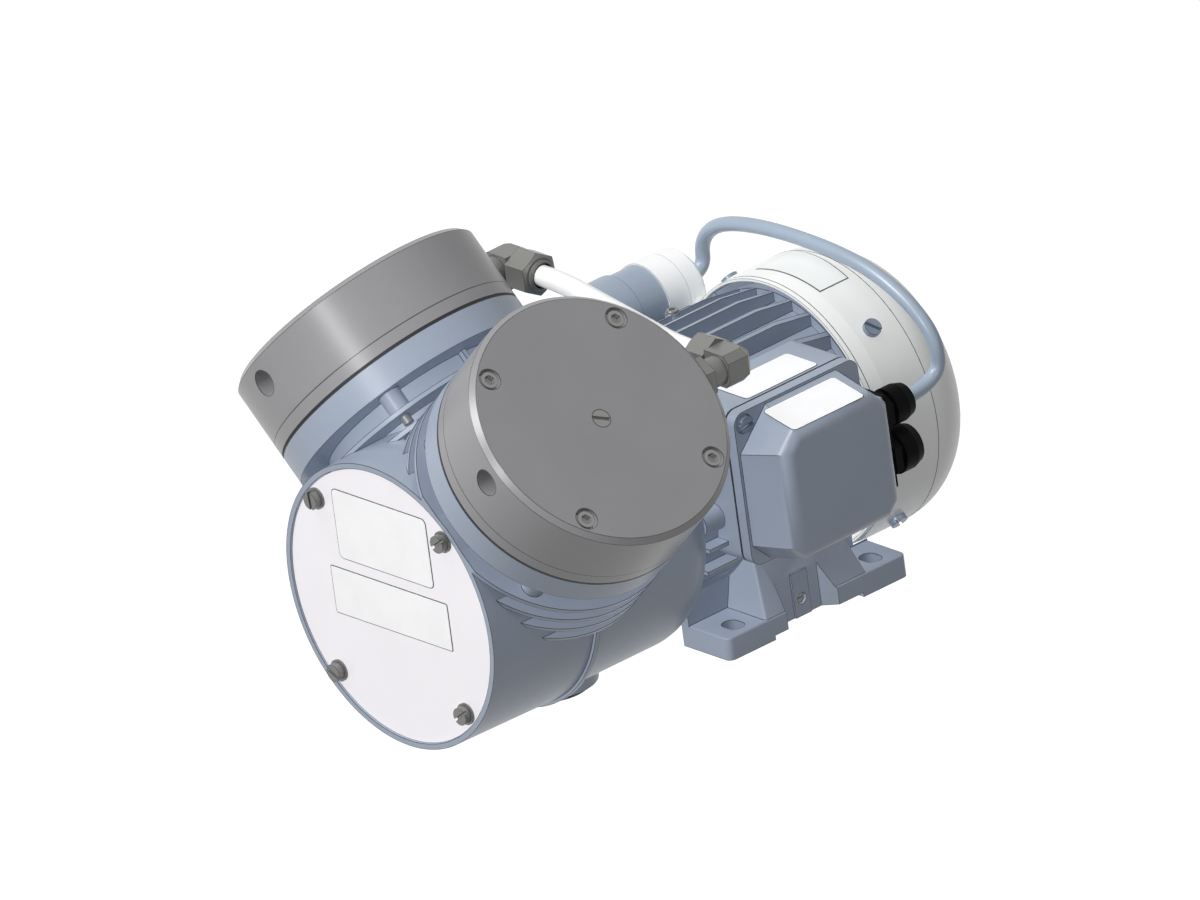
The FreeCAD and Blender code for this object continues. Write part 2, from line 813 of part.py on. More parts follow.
def make_valve_disc(side):
    """Thin disc whose two tongues are cut free by horseshoe slots."""
    body = head_body(side, "valve_disc")
    turned(body, "XZ_Plane", rectangle(0, d.valve_disc_radius, plate_top, cap_ceiling))
    valve_y = d.head_radius - d.port_depth
    tongue = d.valve_hole_radius + 1.5
    slot = 1.5
    for sign in (1, -1):
        inner = sign * (valve_y - tongue)
        slots = [
            rectangle(-tongue - slot, -tongue, valve_y * sign - tongue, valve_y * sign + tongue),
            rectangle(tongue, tongue + slot, valve_y * sign - tongue, valve_y * sign + tongue),
        ]
        end = rectangle(-tongue, tongue, inner - slot / 2, inner + slot / 2)
        extruded(body, "XY_Plane", plate_top, d.valve_disc_thickness, slots, cut=True)
        extruded(body, "XY_Plane", plate_top, d.valve_disc_thickness, [end], cut=True)
    extruded(body, "XY_Plane", plate_top, d.valve_disc_thickness,
             [(0, 0, d.centre_screw_radius / 2 + d.easy_gap)], cut=True)


def make_head_cap(side):
    body = head_body(side, "head_cap")
    recess = d.valve_plate_centre_radius + d.easy_gap
    chamfer_low = d.head_top - d.cap_chamfer
    turned(body, "XZ_Plane", [
        (recess, cap_bottom), (d.head_radius, cap_bottom), (d.head_radius, chamfer_low),
        (d.head_radius - d.cap_chamfer, d.head_top), (0, d.head_top),
        (0, cap_ceiling), (recess, cap_ceiling),
    ])
    clear = d.head_screw_radius + d.easy_gap
    through = [(across, along, clear) for along, across in bolt_places]
    extruded(body, "XY_Plane", cap_bottom, d.head_top - cap_bottom, through, cut=True)
    sunk = d.head_screw_head_height + d.head_screw_sink
    counterbores = [(across, along, d.head_screw_counterbore) for along, across in bolt_places]
    extruded(body, "XY_Plane", d.head_top - sunk, sunk, counterbores, cut=True)
    screw_sink = d.centre_screw_radius * 0.7
    extruded(body, "XY_Plane", d.head_top - screw_sink, screw_sink,
             [(0, 0, d.centre_screw_radius + d.fit_gap)], cut=True)
    extruded(body, "XY_Plane", cap_ceiling, d.head_top - cap_ceiling,
             [(0, 0, d.centre_screw_radius / 2 + d.easy_gap)], cut=True)
    # One port looks forward and one backward, each over its valve.
    valve_y = d.head_radius - d.port_depth
    port = [(0, d.port_height, d.port_radius)]
    extruded(body, "XZ_Plane", -d.head_radius, d.port_depth, port, cut=True)
    extruded(body, "XZ_Plane", valve_y, d.port_depth, port, cut=True)
    galleries = [(0, sign * valve_y, d.valve_hole_radius - 0.5) for sign in (1, -1)]
    extruded(body, "XY_Plane", cap_ceiling, d.port_height - cap_ceiling, galleries, cut=True)
    spot_face = d.collar_width * 0.62
    extruded(body, "XZ_Plane", d.head_radius - 1, 1 + d.easy_gap,
             [(0, d.port_height, spot_face)], cut=True)


# Crank drive

crank_centre = Vector(0, 0, d.shaft_height) - Vector(0, 0, d.eccentricity)


def rod_turn(side):
    """The rod leans from the eccentric's centre to the middle of its diaphragm."""
    top = Vector(0, 0, d.shaft_height) + head_direction(side) * float(d.diaphragm_seat)
    return Rotation(Vector(0, 0, 1), top - crank_centre)


def rod_length(side):
    top = Vector(0, 0, d.shaft_height) + head_direction(side) * float(d.diaphragm_seat)
    return (top - crank_centre).Length


def rod_body(side, name):
    base = (0, HEADS[side][1], d.shaft_height - d.eccentricity)
    return new_body("%s_%s" % (side, name), base, rod_turn(side))


def make_rod(side):
    """Connecting rod: eye round its bearing, tapered shank, round head."""
    body = rod_body(side, "connecting_rod")
    length = rod_length(side)
    half = d.rod_bearing_width / 2
    extruded(body, "XZ_Plane", -half, d.rod_bearing_width, [(0, 0, d.rod_eye_radius)])
    head_top = length - d.support_disc_thickness
    head_bottom = head_top - d.rod_head_thickness
    wide = d.rod_shank_width / 2
    extruded(body, "XZ_Plane", -half, d.rod_bearing_width, [[
        (-wide * 1.3, d.rod_bearing_radius), (wide * 1.3, d.rod_bearing_radius),
        (wide, head_bottom), (-wide, head_bottom),
    ]])
    turned(body, "XZ_Plane", [
        (0, head_bottom - 4), (wide, head_bottom), (d.rod_head_radius, head_bottom + 3),
        (d.rod_head_radius, head_top), (0, head_top),
    ])
    extruded(body, "XZ_Plane", -half, d.rod_bearing_width,
             [(0, 0, d.rod_bearing_radius + d.fit_gap)], cut=True)
    extruded(body, "XZ_Plane", -half, d.rod_bearing_width / 3, [[
        (-wide * 0.6, d.rod_eye_radius + 4), (wide * 0.6, d.rod_eye_radius + 4),
        (wide * 0.45, head_bottom - 8), (-wide * 0.45, head_bottom - 8),
    ]], cut=True)
    stud = d.clamp_stud_radius + d.fit_gap
    extruded(body, "XY_Plane", head_top - 14, 14, [(0, 0, stud)], cut=True)


def make_rod_bearing(side):
    """Sealed outer ring of the rod's ball bearing."""
    body = rod_body(side, "rod_bearing")
    half = d.rod_bearing_width / 2
    inner = (d.eccentric_radius + d.rod_bearing_radius) / 2
    lip = d.eccentric_radius + 4.5
    seal = 1.5
    turned(body, "XY_Plane", [
        (lip, -half + 0.4), (d.rod_bearing_radius, -half + 0.4),
        (d.rod_bearing_radius, half - 0.4), (lip, half - 0.4),
        (lip, half - seal), (inner + 2, half - seal), (inner + 2, -half + seal),
        (lip, -half + seal),
    ])


def make_support_disc(side):
    """Disc under the diaphragm, its rim falling away from the rubber."""
    body = rod_body(side, "support_disc")
    length = rod_length(side)
    bottom = length - d.support_disc_thickness
    turned(body, "XZ_Plane", [
        (d.clamp_stud_radius + d.easy_gap, bottom), (d.support_disc_radius - 3, bottom),
        (d.support_disc_radius, bottom + 1.5),
        (d.support_disc_radius, length - d.clamp_relief),
        (d.clamp_land_radius, length - d.clamp_step), (d.clamp_land_radius, length),
        (d.clamp_stud_radius + d.easy_gap, length),
    ])


def make_clamp_disc(side):
    """Disc over the diaphragm with the stud that screws into the rod."""
    body = rod_body(side, "clamp_disc")
    bottom = rod_length(side) + d.diaphragm_thickness
    top = bottom + d.clamp_disc_thickness
    stud_end = rod_length(side) - d.support_disc_thickness - 13
    turned(body, "XZ_Plane", [
        (0, stud_end), (d.clamp_stud_radius, stud_end), (d.clamp_stud_radius, bottom),
        (d.clamp_land_radius, bottom), (d.clamp_land_radius, bottom + d.clamp_step),
        (d.support_disc_radius, bottom + d.clamp_relief),
        (d.support_disc_radius - 2, top), (0, top),
    ])


def make_diaphragm(side):
    """Rubber disc, clamped at its rim; its middle lies square to the rod."""
    name = side + "_diaphragm"
    body = head_body(side, "diaphragm")
    thick = d.diaphragm_thickness
    low = d.diaphragm_seat
    turned(body, "XZ_Plane", rectangle(d.clamp_land_radius + 0.2, d.head_radius - 0.4, low, low + thick))
    clear = d.head_screw_radius + d.easy_gap
    holes = [(across, along, clear) for along, across in bolt_places]
    extruded(body, "XY_Plane", low, thick, holes, cut=True)
    doc.recompute()
    nodes.remove(body)
    body.Label = name + "_rim"
    turn = rod_turn(side)
    base = Vector(0, HEADS[side][1], d.shaft_height - d.eccentricity)
    start = base + turn.multVec(Vector(0, 0, rod_length(side)))
    way = turn.multVec(Vector(0, 0, 1))
    middle = Part.makeCylinder(d.clamp_land_radius + 0.6, thick, start, way)
    hole = Part.makeCylinder(d.clamp_stud_radius + d.fit_gap, thick * 3, start - way * float(thick), way)
    thing = doc.addObject("Part::Feature", name)
    thing.Shape = body.Shape.fuse(middle).cut(hole).removeSplitter()
    keep(thing, name)


def make_eccentric():
    """Sleeve with the eccentric journal for both rods and its counterweight."""
    body = new_body("eccentric", axis_point)
    half = d.rod_bearing_width / 2
    front = right_head_y - half - 3
    rear = d.left_head_y + half + 1
    off = (0, -d.eccentricity)
    extruded(body, "XZ_Plane", front, rear - front, [(*off, d.eccentric_radius)])
    hub = d.shaft_front_radius + 6
    weight_rear = rear + d.counterweight_thickness
    extruded(body, "XZ_Plane", rear, d.counterweight_thickness, [[
        (-d.counterweight_radius * 0.75, 0), (d.counterweight_radius * 0.75, 0),
        (d.counterweight_radius * 0.75, d.counterweight_radius * 0.6),
        (d.counterweight_radius * 0.4, d.counterweight_radius * 0.9),
        (-d.counterweight_radius * 0.4, d.counterweight_radius * 0.9),
        (-d.counterweight_radius * 0.75, d.counterweight_radius * 0.6),
    ]])
    extruded(body, "XZ_Plane", rear, d.counterweight_thickness, [(0, 0, hub)])
    extruded(body, "XZ_Plane", front, weight_rear - front,
             [(0, 0, d.shaft_front_radius + d.fit_gap)], cut=True)


def make_rod_bearing_rings():
    """Inner rings of the two rod bearings, pressed on the eccentric."""
    half = d.rod_bearing_width / 2
    lip = d.eccentric_radius + 4.5
    master = new_body("rod_inner_ring", finished=False)
    turned(master, "XY_Plane",
           rectangle(d.eccentric_radius + d.fit_gap, lip - d.fit_gap, -half, half))
    places = []
    for side, (sign, head_y) in HEADS.items():
        base = Vector(0, head_y, d.shaft_height - d.eccentricity)
        places.append(Placement(base, Rotation()))
    group("rod_bearing_inner_rings", master, places)


def make_shaft():
    body = new_body("motor_shaft", axis_point)
    half = d.rod_bearing_width / 2
    front = right_head_y - half - 2
    fan_end = d.fan_front + d.fan_length - 2
    turned(body, "XY_Plane", [
        (0, front), (d.shaft_front_radius - 1, front), (d.shaft_front_radius, front + 1),
        (d.shaft_front_radius, d.bearing_wall_front - 1),
        (d.shaft_bearing_radius, d.bearing_wall_front - 1),
        (d.shaft_bearing_radius, front_bearing_rear), (d.shaft_radius, front_bearing_rear),
        (d.shaft_radius, rear_bearing_front), (d.shaft_bearing_radius, rear_bearing_front),
        (d.shaft_bearing_radius, rear_bearing_rear + 2),
        (d.shaft_fan_radius, rear_bearing_rear + 2), (d.shaft_fan_radius, fan_end - 1),
        (d.shaft_fan_radius - 1, fan_end), (0, fan_end),
    ])


def make_rotor():
    body = new_body("rotor_core", axis_point)
    outer = d.stator_bore_radius - d.air_gap
    turned(body, "XY_Plane",
           rectangle(d.shaft_radius + d.fit_gap, outer, d.stator_front, d.stator_rear))
    ring = [
        rectangle(outer - 9, outer - 1, d.stator_rear - 1, d.stator_rear + 5),
        rectangle(outer - 9, outer - 1, d.stator_front - 5, d.stator_front + 1),
    ]
    turned(body, "XY_Plane", ring)


def bearing_ring(name, inner, outer, seal_inner=None):
    """One ring of a sealed ball bearing, centred on zero along Y."""
    body = new_body(name, finished=False)
    half = d.bearing_width / 2
    if seal_inner is None:
        turned(body, "XY_Plane", rectangle(inner, outer, -half, half))
        return body
    turned(body, "XY_Plane", [
        (seal_inner, -half + 0.4), (outer, -half + 0.4), (outer, half - 0.4),
        (seal_inner, half - 0.4), (seal_inner, half - 1.6), (inner, half - 1.6),
        (inner, -half + 1.6), (seal_inner, -half + 1.6),
    ])
    return body


def make_motor_bearings():
    lip = d.shaft_bearing_radius + 4
    middles = [front_bearing_front + d.bearing_width / 2, rear_bearing_front + d.bearing_width / 2]
    places = [Placement(Vector(0, middle, d.shaft_height), Rotation()) for middle in middles]
    outer = bearing_ring("bearing_outer", d.bearing_radius - 5, d.bearing_radius, lip + d.fit_gap)
    group("motor_bearing_outer_rings", outer, places)
    inner = bearing_ring("bearing_inner", d.shaft_bearing_radius + d.fit_gap, lip)
    group("motor_bearing_inner_rings", inner, places)


def make_shaft_seal():
    body = new_body("shaft_seal", axis_point)
    front = d.bearing_wall_front
    turned(body, "XY_Plane", [
        (d.shaft_bearing_radius + d.fit_gap, front + 1), (d.seal_radius, front),
        (d.seal_radius, front + d.seal_width - 0.2),
        (d.seal_radius - 2, front + d.seal_width - 0.2), (d.seal_radius - 2, front + 2),
        (d.shaft_bearing_radius + 2, front + 3), (d.shaft_bearing_radius + d.fit_gap, front + 2),
    ])


# Motor

def make_motor_frame():
    body = new_body("motor_frame", axis_point)
    length = d.frame_rear - d.frame_front
    half = d.fin_thickness / 2
    beyond = d.fin_tip_radius + 4
    ring = [(0, 0, d.frame_radius), (0, 0, d.frame_bore_radius - 2)]
    extruded(body, "XZ_Plane", d.frame_front, length, ring)
    # Upright fins above and below, level fins at the sides.
    upright = []
    for index in range(-4, 5):
        middle = d.fin_pitch * index
        root = math.sqrt(float(d.frame_bore_radius) ** 2 - float(middle) ** 2)
        if index < 4:
            upright.append(rectangle(middle - half, middle + half, root, beyond))
        if abs(index) < 2:
            upright.append(rectangle(middle - half, middle + half, -beyond, -root))
    level = []
    for index in range(-3, 2):
        middle = d.fin_pitch * index
        root = math.sqrt(float(d.frame_bore_radius) ** 2 - float(middle) ** 2)
        level.append(rectangle(-beyond, -root, middle - half, middle + half))
        if index < 0:
            level.append(rectangle(root, beyond, middle - half, middle + half))
    extruded(body, "XZ_Plane", d.frame_front, length, upright + level)
    turned(body, "XY_Plane", [
        (d.fin_tip_radius, d.frame_front), (d.fin_tip_radius, d.fin_slope_start),
        (d.fin_low_tip_radius, d.frame_rear + 1), (beyond * 2, d.frame_rear + 1),
        (beyond * 2, d.frame_front),
    ], cut=True)
    # Seat of the terminal box between the fins, with the ring left whole.
    side = d.box_side / 2 + d.easy_gap
    box_height = d.box_middle_height - d.shaft_height
    extruded(body, "YZ_Plane", d.box_root - d.easy_gap, beyond,
             [rectangle(d.box_middle_y - side, d.box_middle_y + side,
                        box_height - side, box_height + side)], cut=True)
    extruded(body, "XZ_Plane", d.frame_front, length, ring)
    lugs = [
        (d.lug_circle_radius * math.cos(angle), d.lug_circle_radius * math.sin(angle),
         d.lug_radius) for angle in LUG_ANGLES
    ]
    extruded(body, "XZ_Plane", d.frame_front, d.lug_length, lugs)
    add_feet(body)
    add_capacitor_pad(body)
    extruded(body, "XZ_Plane", d.frame_front - 1, length + 2,
             [(0, 0, d.frame_bore_radius)], cut=True)
    holes = [(across, along, d.flange_screw_radius + d.easy_gap) for across, along, size in lugs]
    extruded(body, "XZ_Plane", d.frame_front, d.flange_screw_grip, holes, cut=True)


def add_feet(body):
    """Feet with their saddles, slots and earthing notch."""
    ground = -d.shaft_height
    outer = d.foot_across / 2
    along = d.foot_along / 2
    middle = (d.foot_inner_edge + outer) / 2
    for sign in (1, -1):
        near, far = sorted((sign * d.foot_inner_edge, sign * outer))
        extruded(body, "XY_Plane", ground, d.foot_thickness, [rectangle(near, far, -along, along)])
        foot_top = ground + d.foot_thickness
        low = sorted((sign * d.foot_inner_edge * 0.8, sign * d.saddle_reach))
        high = sorted((sign * d.foot_inner_edge * 0.8, sign * d.saddle_top_reach))
        base = new_sketch(body, "XY_Plane", (0, 0, foot_top - 1))
        draw(base, [rectangle(*low, -d.saddle_half_length, d.saddle_half_length)])
        top = new_sketch(body, "XY_Plane", (0, 0, ground + d.saddle_height))
        draw(top, [rectangle(*high, -d.saddle_top_half_length, d.saddle_top_half_length)])
        loft = body.newObject("PartDesign::AdditiveLoft", "saddle")
        loft.Profile = base
        loft.Sections = [top]
        loft.Ruled = True
        finish_feature(body, loft, False)
        notch = sorted((sign * (d.saddle_top_reach - d.notch_depth), sign * (outer + 1)))
        extruded(body, "XY_Plane", ground, d.saddle_height + 4,
                 [rectangle(*notch, d.notch_front, d.notch_rear)], cut=True)
        relief = along - d.foot_pad_length
        edges = sorted((sign * (d.foot_inner_edge - 1), sign * (outer + 1)))
        extruded(body, "XY_Plane", ground, d.foot_relief, [rectangle(*edges, -relief, relief)], cut=True)
        half_run = (d.foot_slot_length - d.foot_hole_width) / 2
        for end in (1, -1):
            hole_y = end * d.foot_hole_along / 2
            hole_x = sign * d.foot_hole_across / 2
            half_width = d.foot_hole_width / 2
            straight = rectangle(hole_x - half_run, hole_x + half_run,
                                 hole_y - half_width, hole_y + half_width)
            extruded(body, "XY_Plane", ground, d.foot_thickness, [straight], cut=True)
            for way in (1, -1):
                extruded(body, "XY_Plane", ground, d.foot_thickness,
                         [(hole_x + way * half_run, hole_y, half_width)], cut=True)
    # Round boss for the earthing screw, in the notch at the box's side.
    boss_x = d.saddle_top_reach - d.notch_depth - 1
    extruded(body, "YZ_Plane", boss_x, EARTH_BOSS_LENGTH + 1, [(*earth_place, EARTH_BOSS_RADIUS)])
    hole = EARTH_BOSS_RADIUS / 3
    extruded(body, "YZ_Plane", boss_x, EARTH_BOSS_LENGTH + 1, [(*earth_place, hole)], cut=True)


EARTH_BOSS_RADIUS = 6.0
EARTH_BOSS_LENGTH = 4.0
earth_place = ((d.notch_front + d.notch_rear) / 2, -d.shaft_height + 24.0)

capacitor_offset = Vector(float(d.capacitor_x), 0, float(d.capacitor_height - d.shaft_height))
capacitor_distance = capacitor_offset.Length
capacitor_lean = math.degrees(math.atan2(capacitor_offset.x, capacitor_offset.z))
pad_height = d.fin_tip_radius + 0.2
pad_half_width = 9.0


def add_capacitor_pad(body):
    """Flat pad on the frame that carries the capacitor's clamp."""
    lean = Rotation(Vector(0, 1, 0), capacitor_lean)
    up = lean.multVec(Vector(0, 0, 1))
    across = Vector(0, 1, 0)
    turn = Rotation(across, up.cross(across), up, "ZXY")
    start = d.frame_bore_radius + 1
    sketch_base = (start * up.x, 0, start * up.z)
    extruded(body, "XY_Plane", 0, pad_height - start,
             [rectangle(d.clamp_front, d.clamp_front + d.clamp_width,
                        -pad_half_width, pad_half_width)],
             base=sketch_base, rotation=turn)


def make_flange_screws():
    """Long screws from the crankcase's inside into the lugs of the motor frame."""
    reach = case_rear - d.bearing_wall_front
    master = socket_screw("flange_screw", d.flange_screw_radius, d.head_screw_head_radius,
                          d.flange_screw_radius * 2, reach + d.flange_screw_grip - 1)
    places = []
    for angle in LUG_ANGLES:
        base = Vector(d.lug_circle_radius * math.cos(angle), d.bearing_wall_front,
                      d.shaft_height + d.lug_circle_radius * math.sin(angle))
        places.append(Placement(base, facing(Vector(0, -1, 0))))
    group("flange_screws", master, places)


def make_earth_screw():
    face = d.saddle_top_reach - d.notch_depth + EARTH_BOSS_LENGTH
    master = slotted_screw("earth_screw_form", EARTH_BOSS_RADIUS / 3 - d.fit_gap,
                           EARTH_BOSS_RADIUS * 0.7, 2.6, EARTH_BOSS_LENGTH)
    base = Vector(face, earth_place[0], d.shaft_height + earth_place[1])
    group("earth_screw", master, [Placement(base, facing(Vector(1, 0, 0), 20))])


def make_stator():
    body = new_body("stator_core", axis_point)
    turned(body, "XY_Plane", rectangle(d.stator_bore_radius, d.frame_bore_radius - d.fit_gap,
                                       d.stator_front, d.stator_rear))


def make_windings():
    body = new_body("winding_end_form", finished=False)
    inner, outer = d.winding_inner_radius, d.winding_outer_radius
    turned(body, "XY_Plane", [
        (inner, 0), (outer, 0), (outer, d.winding_length - 5), (outer - 4, d.winding_length),
        (inner + 4, d.winding_length), (inner, d.winding_length - 5),
    ])
    front = Placement(Vector(0, d.stator_front, d.shaft_height), Rotation(Vector(0, 0, 1), 180))
    rear = Placement(Vector(0, d.stator_rear, d.shaft_height), Rotation())
    group("winding_ends", body, [front, rear])


def make_end_shield():
    """Rear end shield: bearing hub, disc, spigot and four lugs for the cowl."""
    body = new_body("rear_end_shield", axis_point)
    disc_rear = d.frame_rear + d.shield_thickness
    hub_front = rear_bearing_front - 2
    hub_rear = rear_bearing_rear + 2
    spigot = d.frame_bore_radius - d.fit_gap
    turned(body, "XY_Plane", [
        (0, hub_front), (d.shield_hub_radius, hub_front), (d.shield_hub_radius, d.frame_rear),
        (spigot - 4, d.frame_rear), (spigot - 4, d.frame_rear - 4), (spigot, d.frame_rear - 4),
        (spigot, d.frame_rear), (d.fin_low_tip_radius, d.frame_rear),
        (d.fin_low_tip_radius, disc_rear), (d.shield_hub_radius, disc_rear),
        (d.shield_hub_radius, hub_rear), (0, hub_rear),
    ])
    inside = d.cowl_radius - d.cowl_wall
    lug = extruded(body, "XZ_Plane", d.frame_rear + 1, d.shield_lug_rear - d.frame_rear - 1,
                   [rectangle(inside - 15, inside + 2, -6, 6)])
    narrow = d.cowl_front_radius - d.cowl_wall - d.fit_gap
    turned(body, "XY_Plane", [
        (narrow, d.cowl_front), (inside - d.fit_gap, d.cowl_front + COWL_TAPER),
        (inside - d.fit_gap, d.shield_lug_rear + 1), (inside + 20, d.shield_lug_rear + 1),
        (inside + 20, d.cowl_front),
    ], cut=True)
    hole = extruded(body, "YZ_Plane", inside - 12, 14, [(d.cowl_screw_y, 0, COWL_SCREW_RADIUS + d.fit_gap)],
                    cut=True)
    pattern = body.newObject("PartDesign::PolarPattern", "lugs")
    pattern.Originals = [lug, body.Tip.BaseFeature, hole]
    axis = [line for line in body.Origin.OriginFeatures if line.Role == "Y_Axis"][0]
    pattern.Axis = (axis, [""])
    pattern.Angle = 360
    pattern.Occurrences = 4
    body.Tip = pattern
    doc.recompute()
    turned(body, "XY_Plane", [
        (0, hub_front), (d.shaft_radius + 1, hub_front), (d.shaft_radius + 1, rear_bearing_front),
        (d.bearing_radius + d.fit_gap, rear_bearing_front), (d.bearing_radius + d.fit_gap, hub_rear),
        (0, hub_rear),
    ], cut=True)
    put(body, axis_point, Rotation(Vector(0, 1, 0), 45))


COWL_TAPER = 12.0
COWL_SCREW_RADIUS = 2.5
COWL_SCREW_HEAD = 5.0


def make_cowl():
    """Fan cowl: straight front, domed rear, ring slots in its flat end."""
    body = new_body("fan_cowl", axis_point)
    dome = d.cowl_dome_radius
    dome_middle = d.cowl_radius - dome
    rear = d.cowl_dome_start + dome
    wall = d.cowl_wall
    turned(body, "XY_Plane", [
        (d.cowl_front_radius, d.cowl_front), (d.cowl_radius, d.cowl_front + COWL_TAPER),
        (d.cowl_radius, d.cowl_dome_start, dome), (dome_middle, rear), (0, rear),
        (0, rear - wall), (dome_middle, rear - wall, wall - dome),
        (d.cowl_radius - wall, d.cowl_dome_start), (d.cowl_radius - wall, d.cowl_front + COWL_TAPER),
        (d.cowl_front_radius - wall, d.cowl_front),
    ])
    grille = []
    for index in range(4):
        grille += [(0, 0, dome_middle - 4 - 8 * index), (0, 0, dome_middle - 8 - 8 * index)]
    extruded(body, "XZ_Plane", rear - d.cowl_wall - 1, d.cowl_wall + 2, grille, cut=True)
    for bar in (rectangle(-dome_middle + 1, dome_middle - 1, -2, 2),
                rectangle(-2, 2, -dome_middle + 1, dome_middle - 1)):
        extruded(body, "XZ_Plane", rear - d.cowl_wall, d.cowl_wall, [bar])
    hole = extruded(body, "YZ_Plane", d.cowl_radius - 4, 8,
                    [(d.cowl_screw_y, 0, COWL_SCREW_RADIUS + d.easy_gap)], cut=True)
    patterned(body, hole, "Y_Axis", 4)
    put(body, axis_point, Rotation(Vector(0, 1, 0), 45))


def make_cowl_screws():
    master = slotted_screw("cowl_screw", COWL_SCREW_RADIUS, COWL_SCREW_HEAD, 3.2, 11)
    places = []
    for angle in quarter_turns:
        way = Vector(math.cos(angle), 0, math.sin(angle))
        base = Vector(0, d.cowl_screw_y, d.shaft_height) + way * float(d.cowl_radius + 0.2)
        places.append(Placement(base, facing(way, 40)))
    group("cowl_screws", master, places)


def make_fan():
    body = new_body("fan", axis_point)
    hub = d.shaft_fan_radius + 7
    disc = 3
    turned(body, "XY_Plane", [
        (d.shaft_fan_radius + d.fit_gap, d.fan_front), (d.fan_radius, d.fan_front),
        (d.fan_radius, d.fan_front + disc), (hub, d.fan_front + disc),
        (hub, d.fan_front + d.fan_length - 3),
        (d.shaft_fan_radius + d.fit_gap, d.fan_front + d.fan_length - 3),
    ])
    blade = extruded(body, "XZ_Plane", d.fan_front + 1, d.fan_length - 1,
                     [rectangle(hub - 1, d.fan_radius - 1, -1.25, 1.25)])
    patterned(body, blade, "Y_Axis", d.fan_blade_count)


# Terminal box

box_centre = (0, d.box_middle_y, d.box_middle_height)


def box_body(name):
    return new_body(name, box_centre)


def octagon(along, high, corner):
    half_along, half_high = along / 2, high / 2
    return [
        (-half_along + corner, -half_high), (half_along - corner, -half_high),
        (half_along, -half_high + corner), (half_along, half_high - corner),
        (half_along - corner, half_high), (-half_along + corner, half_high),
        (-half_along, half_high - corner), (-half_along, -half_high + corner),
    ]


def square(side, inset=0.0):
    half = side / 2 - inset
    return rectangle(-half, half, -half, half)


lid_start = d.box_face + d.gasket_thickness
lid_corners = [
    (sign_along * (d.box_side / 2 - d.lid_screw_inset), sign_high * (d.box_side / 2 - d.lid_screw_inset))
    for sign_along in (1, -1) for sign_high in (1, -1)
]
LID_SCREW_RADIUS = 2.5


def make_box_base():
    body = box_body("terminal_box_base")
    extruded(body, "YZ_Plane", d.box_root, d.box_face - d.box_root, [square(d.box_side)])
    dressed(body, "Fillet", 4.0, lambda edge: is_straight_along(edge, Vector(1, 0, 0)))
    drop = d.shaft_height - d.box_middle_height
    extruded(body, "XZ_Plane", -d.box_side, d.box_side * 2,
             [(0, drop, d.frame_radius + d.fit_gap)], cut=True)
    extruded(body, "YZ_Plane", d.box_face - d.box_depth, d.box_depth,
             [octagon(d.box_side - 2 * d.box_wall, d.box_side - 2 * d.box_wall, 14)], cut=True)
    holes = [(along, high, LID_SCREW_RADIUS + d.fit_gap) for along, high in lid_corners]
    extruded(body, "YZ_Plane", d.box_face - 10, 10, holes, cut=True)


def is_straight_along(edge, way):
    if not isinstance(edge.Curve, Part.Line):
        return False
    return abs(abs(edge.Curve.Direction.dot(way)) - 1) < 1e-6


def make_gasket():
    body = box_body("lid_gasket")
    extruded(body, "YZ_Plane", d.box_face, d.gasket_thickness, [
        square(d.box_side, 0.8), octagon(d.box_side - 2 * d.box_wall, d.box_side - 2 * d.box_wall, 14),
    ])
    holes = [(along, high, LID_SCREW_RADIUS + d.easy_gap) for along, high in lid_corners]
    extruded(body, "YZ_Plane", d.box_face, d.gasket_thickness, holes, cut=True)


def lofted(body, starts, sections, cut=False):
    """A loft between outlines drawn on the side plane at the given places."""
    sketches = []
    for start, section in zip(starts, sections):
        sketch = new_sketch(body, "YZ_Plane", (0, 0, start))
        draw(sketch, [section])
        sketches.append(sketch)
    kind = "PartDesign::SubtractiveLoft" if cut else "PartDesign::AdditiveLoft"
    loft = body.newObject(kind, body.Name + "_loft")
    loft.Profile = sketches[0]
    loft.Sections = sketches[1:]
    loft.Ruled = True
    return finish_feature(body, loft, cut)


def make_lid():
    """Lid with a square rim, sloping eight-sided hood and flat entry pad."""
    body = box_body("terminal_box_lid")
    base = octagon(d.lid_base_side, d.lid_base_side, d.lid_base_corner)
    face = octagon(d.lid_face_along, d.lid_face_high, d.lid_face_corner)
    extruded(body, "YZ_Plane", lid_start, d.lid_rim, [square(d.box_side)])
    lofted(body, [lid_start, d.lid_front], [base, face])
    dressed(body, "Fillet", d.lid_round, lambda edge: all(
        abs(vertex.X - float(d.lid_front)) < 0.01 for vertex in edge.Vertexes))
    pad_high = d.upper_gland_height + 13 - d.box_middle_height
    pad_low = d.lower_gland_height - 16 - d.box_middle_height
    pad_rear = d.box_side / 2
    extruded(body, "YZ_Plane", lid_start, ENTRY_REACH, [
        rectangle(pad_rear - 14, pad_rear, pad_low, pad_high)])
    wall = d.lid_wall
    inner_base = octagon(d.lid_base_side - 2 * wall, d.lid_base_side - 2 * wall, d.lid_base_corner)
    inner_face = octagon(d.lid_face_along - 2 * wall, d.lid_face_high - 2 * wall, d.lid_face_corner)
    lofted(body, [lid_start, d.lid_front - wall], [inner_base, inner_face], cut=True)
    holes = [(along, high, LID_SCREW_RADIUS + d.easy_gap) for along, high in lid_corners]
    extruded(body, "YZ_Plane", lid_start, d.lid_rim, holes, cut=True)
    gland_holes = [
        (d.gland_x, height - d.box_middle_height, radius)
        for height, radius in ((d.upper_gland_height, UPPER_THREAD), (d.lower_gland_height, LOWER_THREAD))
    ]
    extruded(body, "XZ_Plane", pad_rear - 16, 16, gland_holes, cut=True)


ENTRY_REACH = 20.0
UPPER_THREAD = 8.0
LOWER_THREAD = 8.0


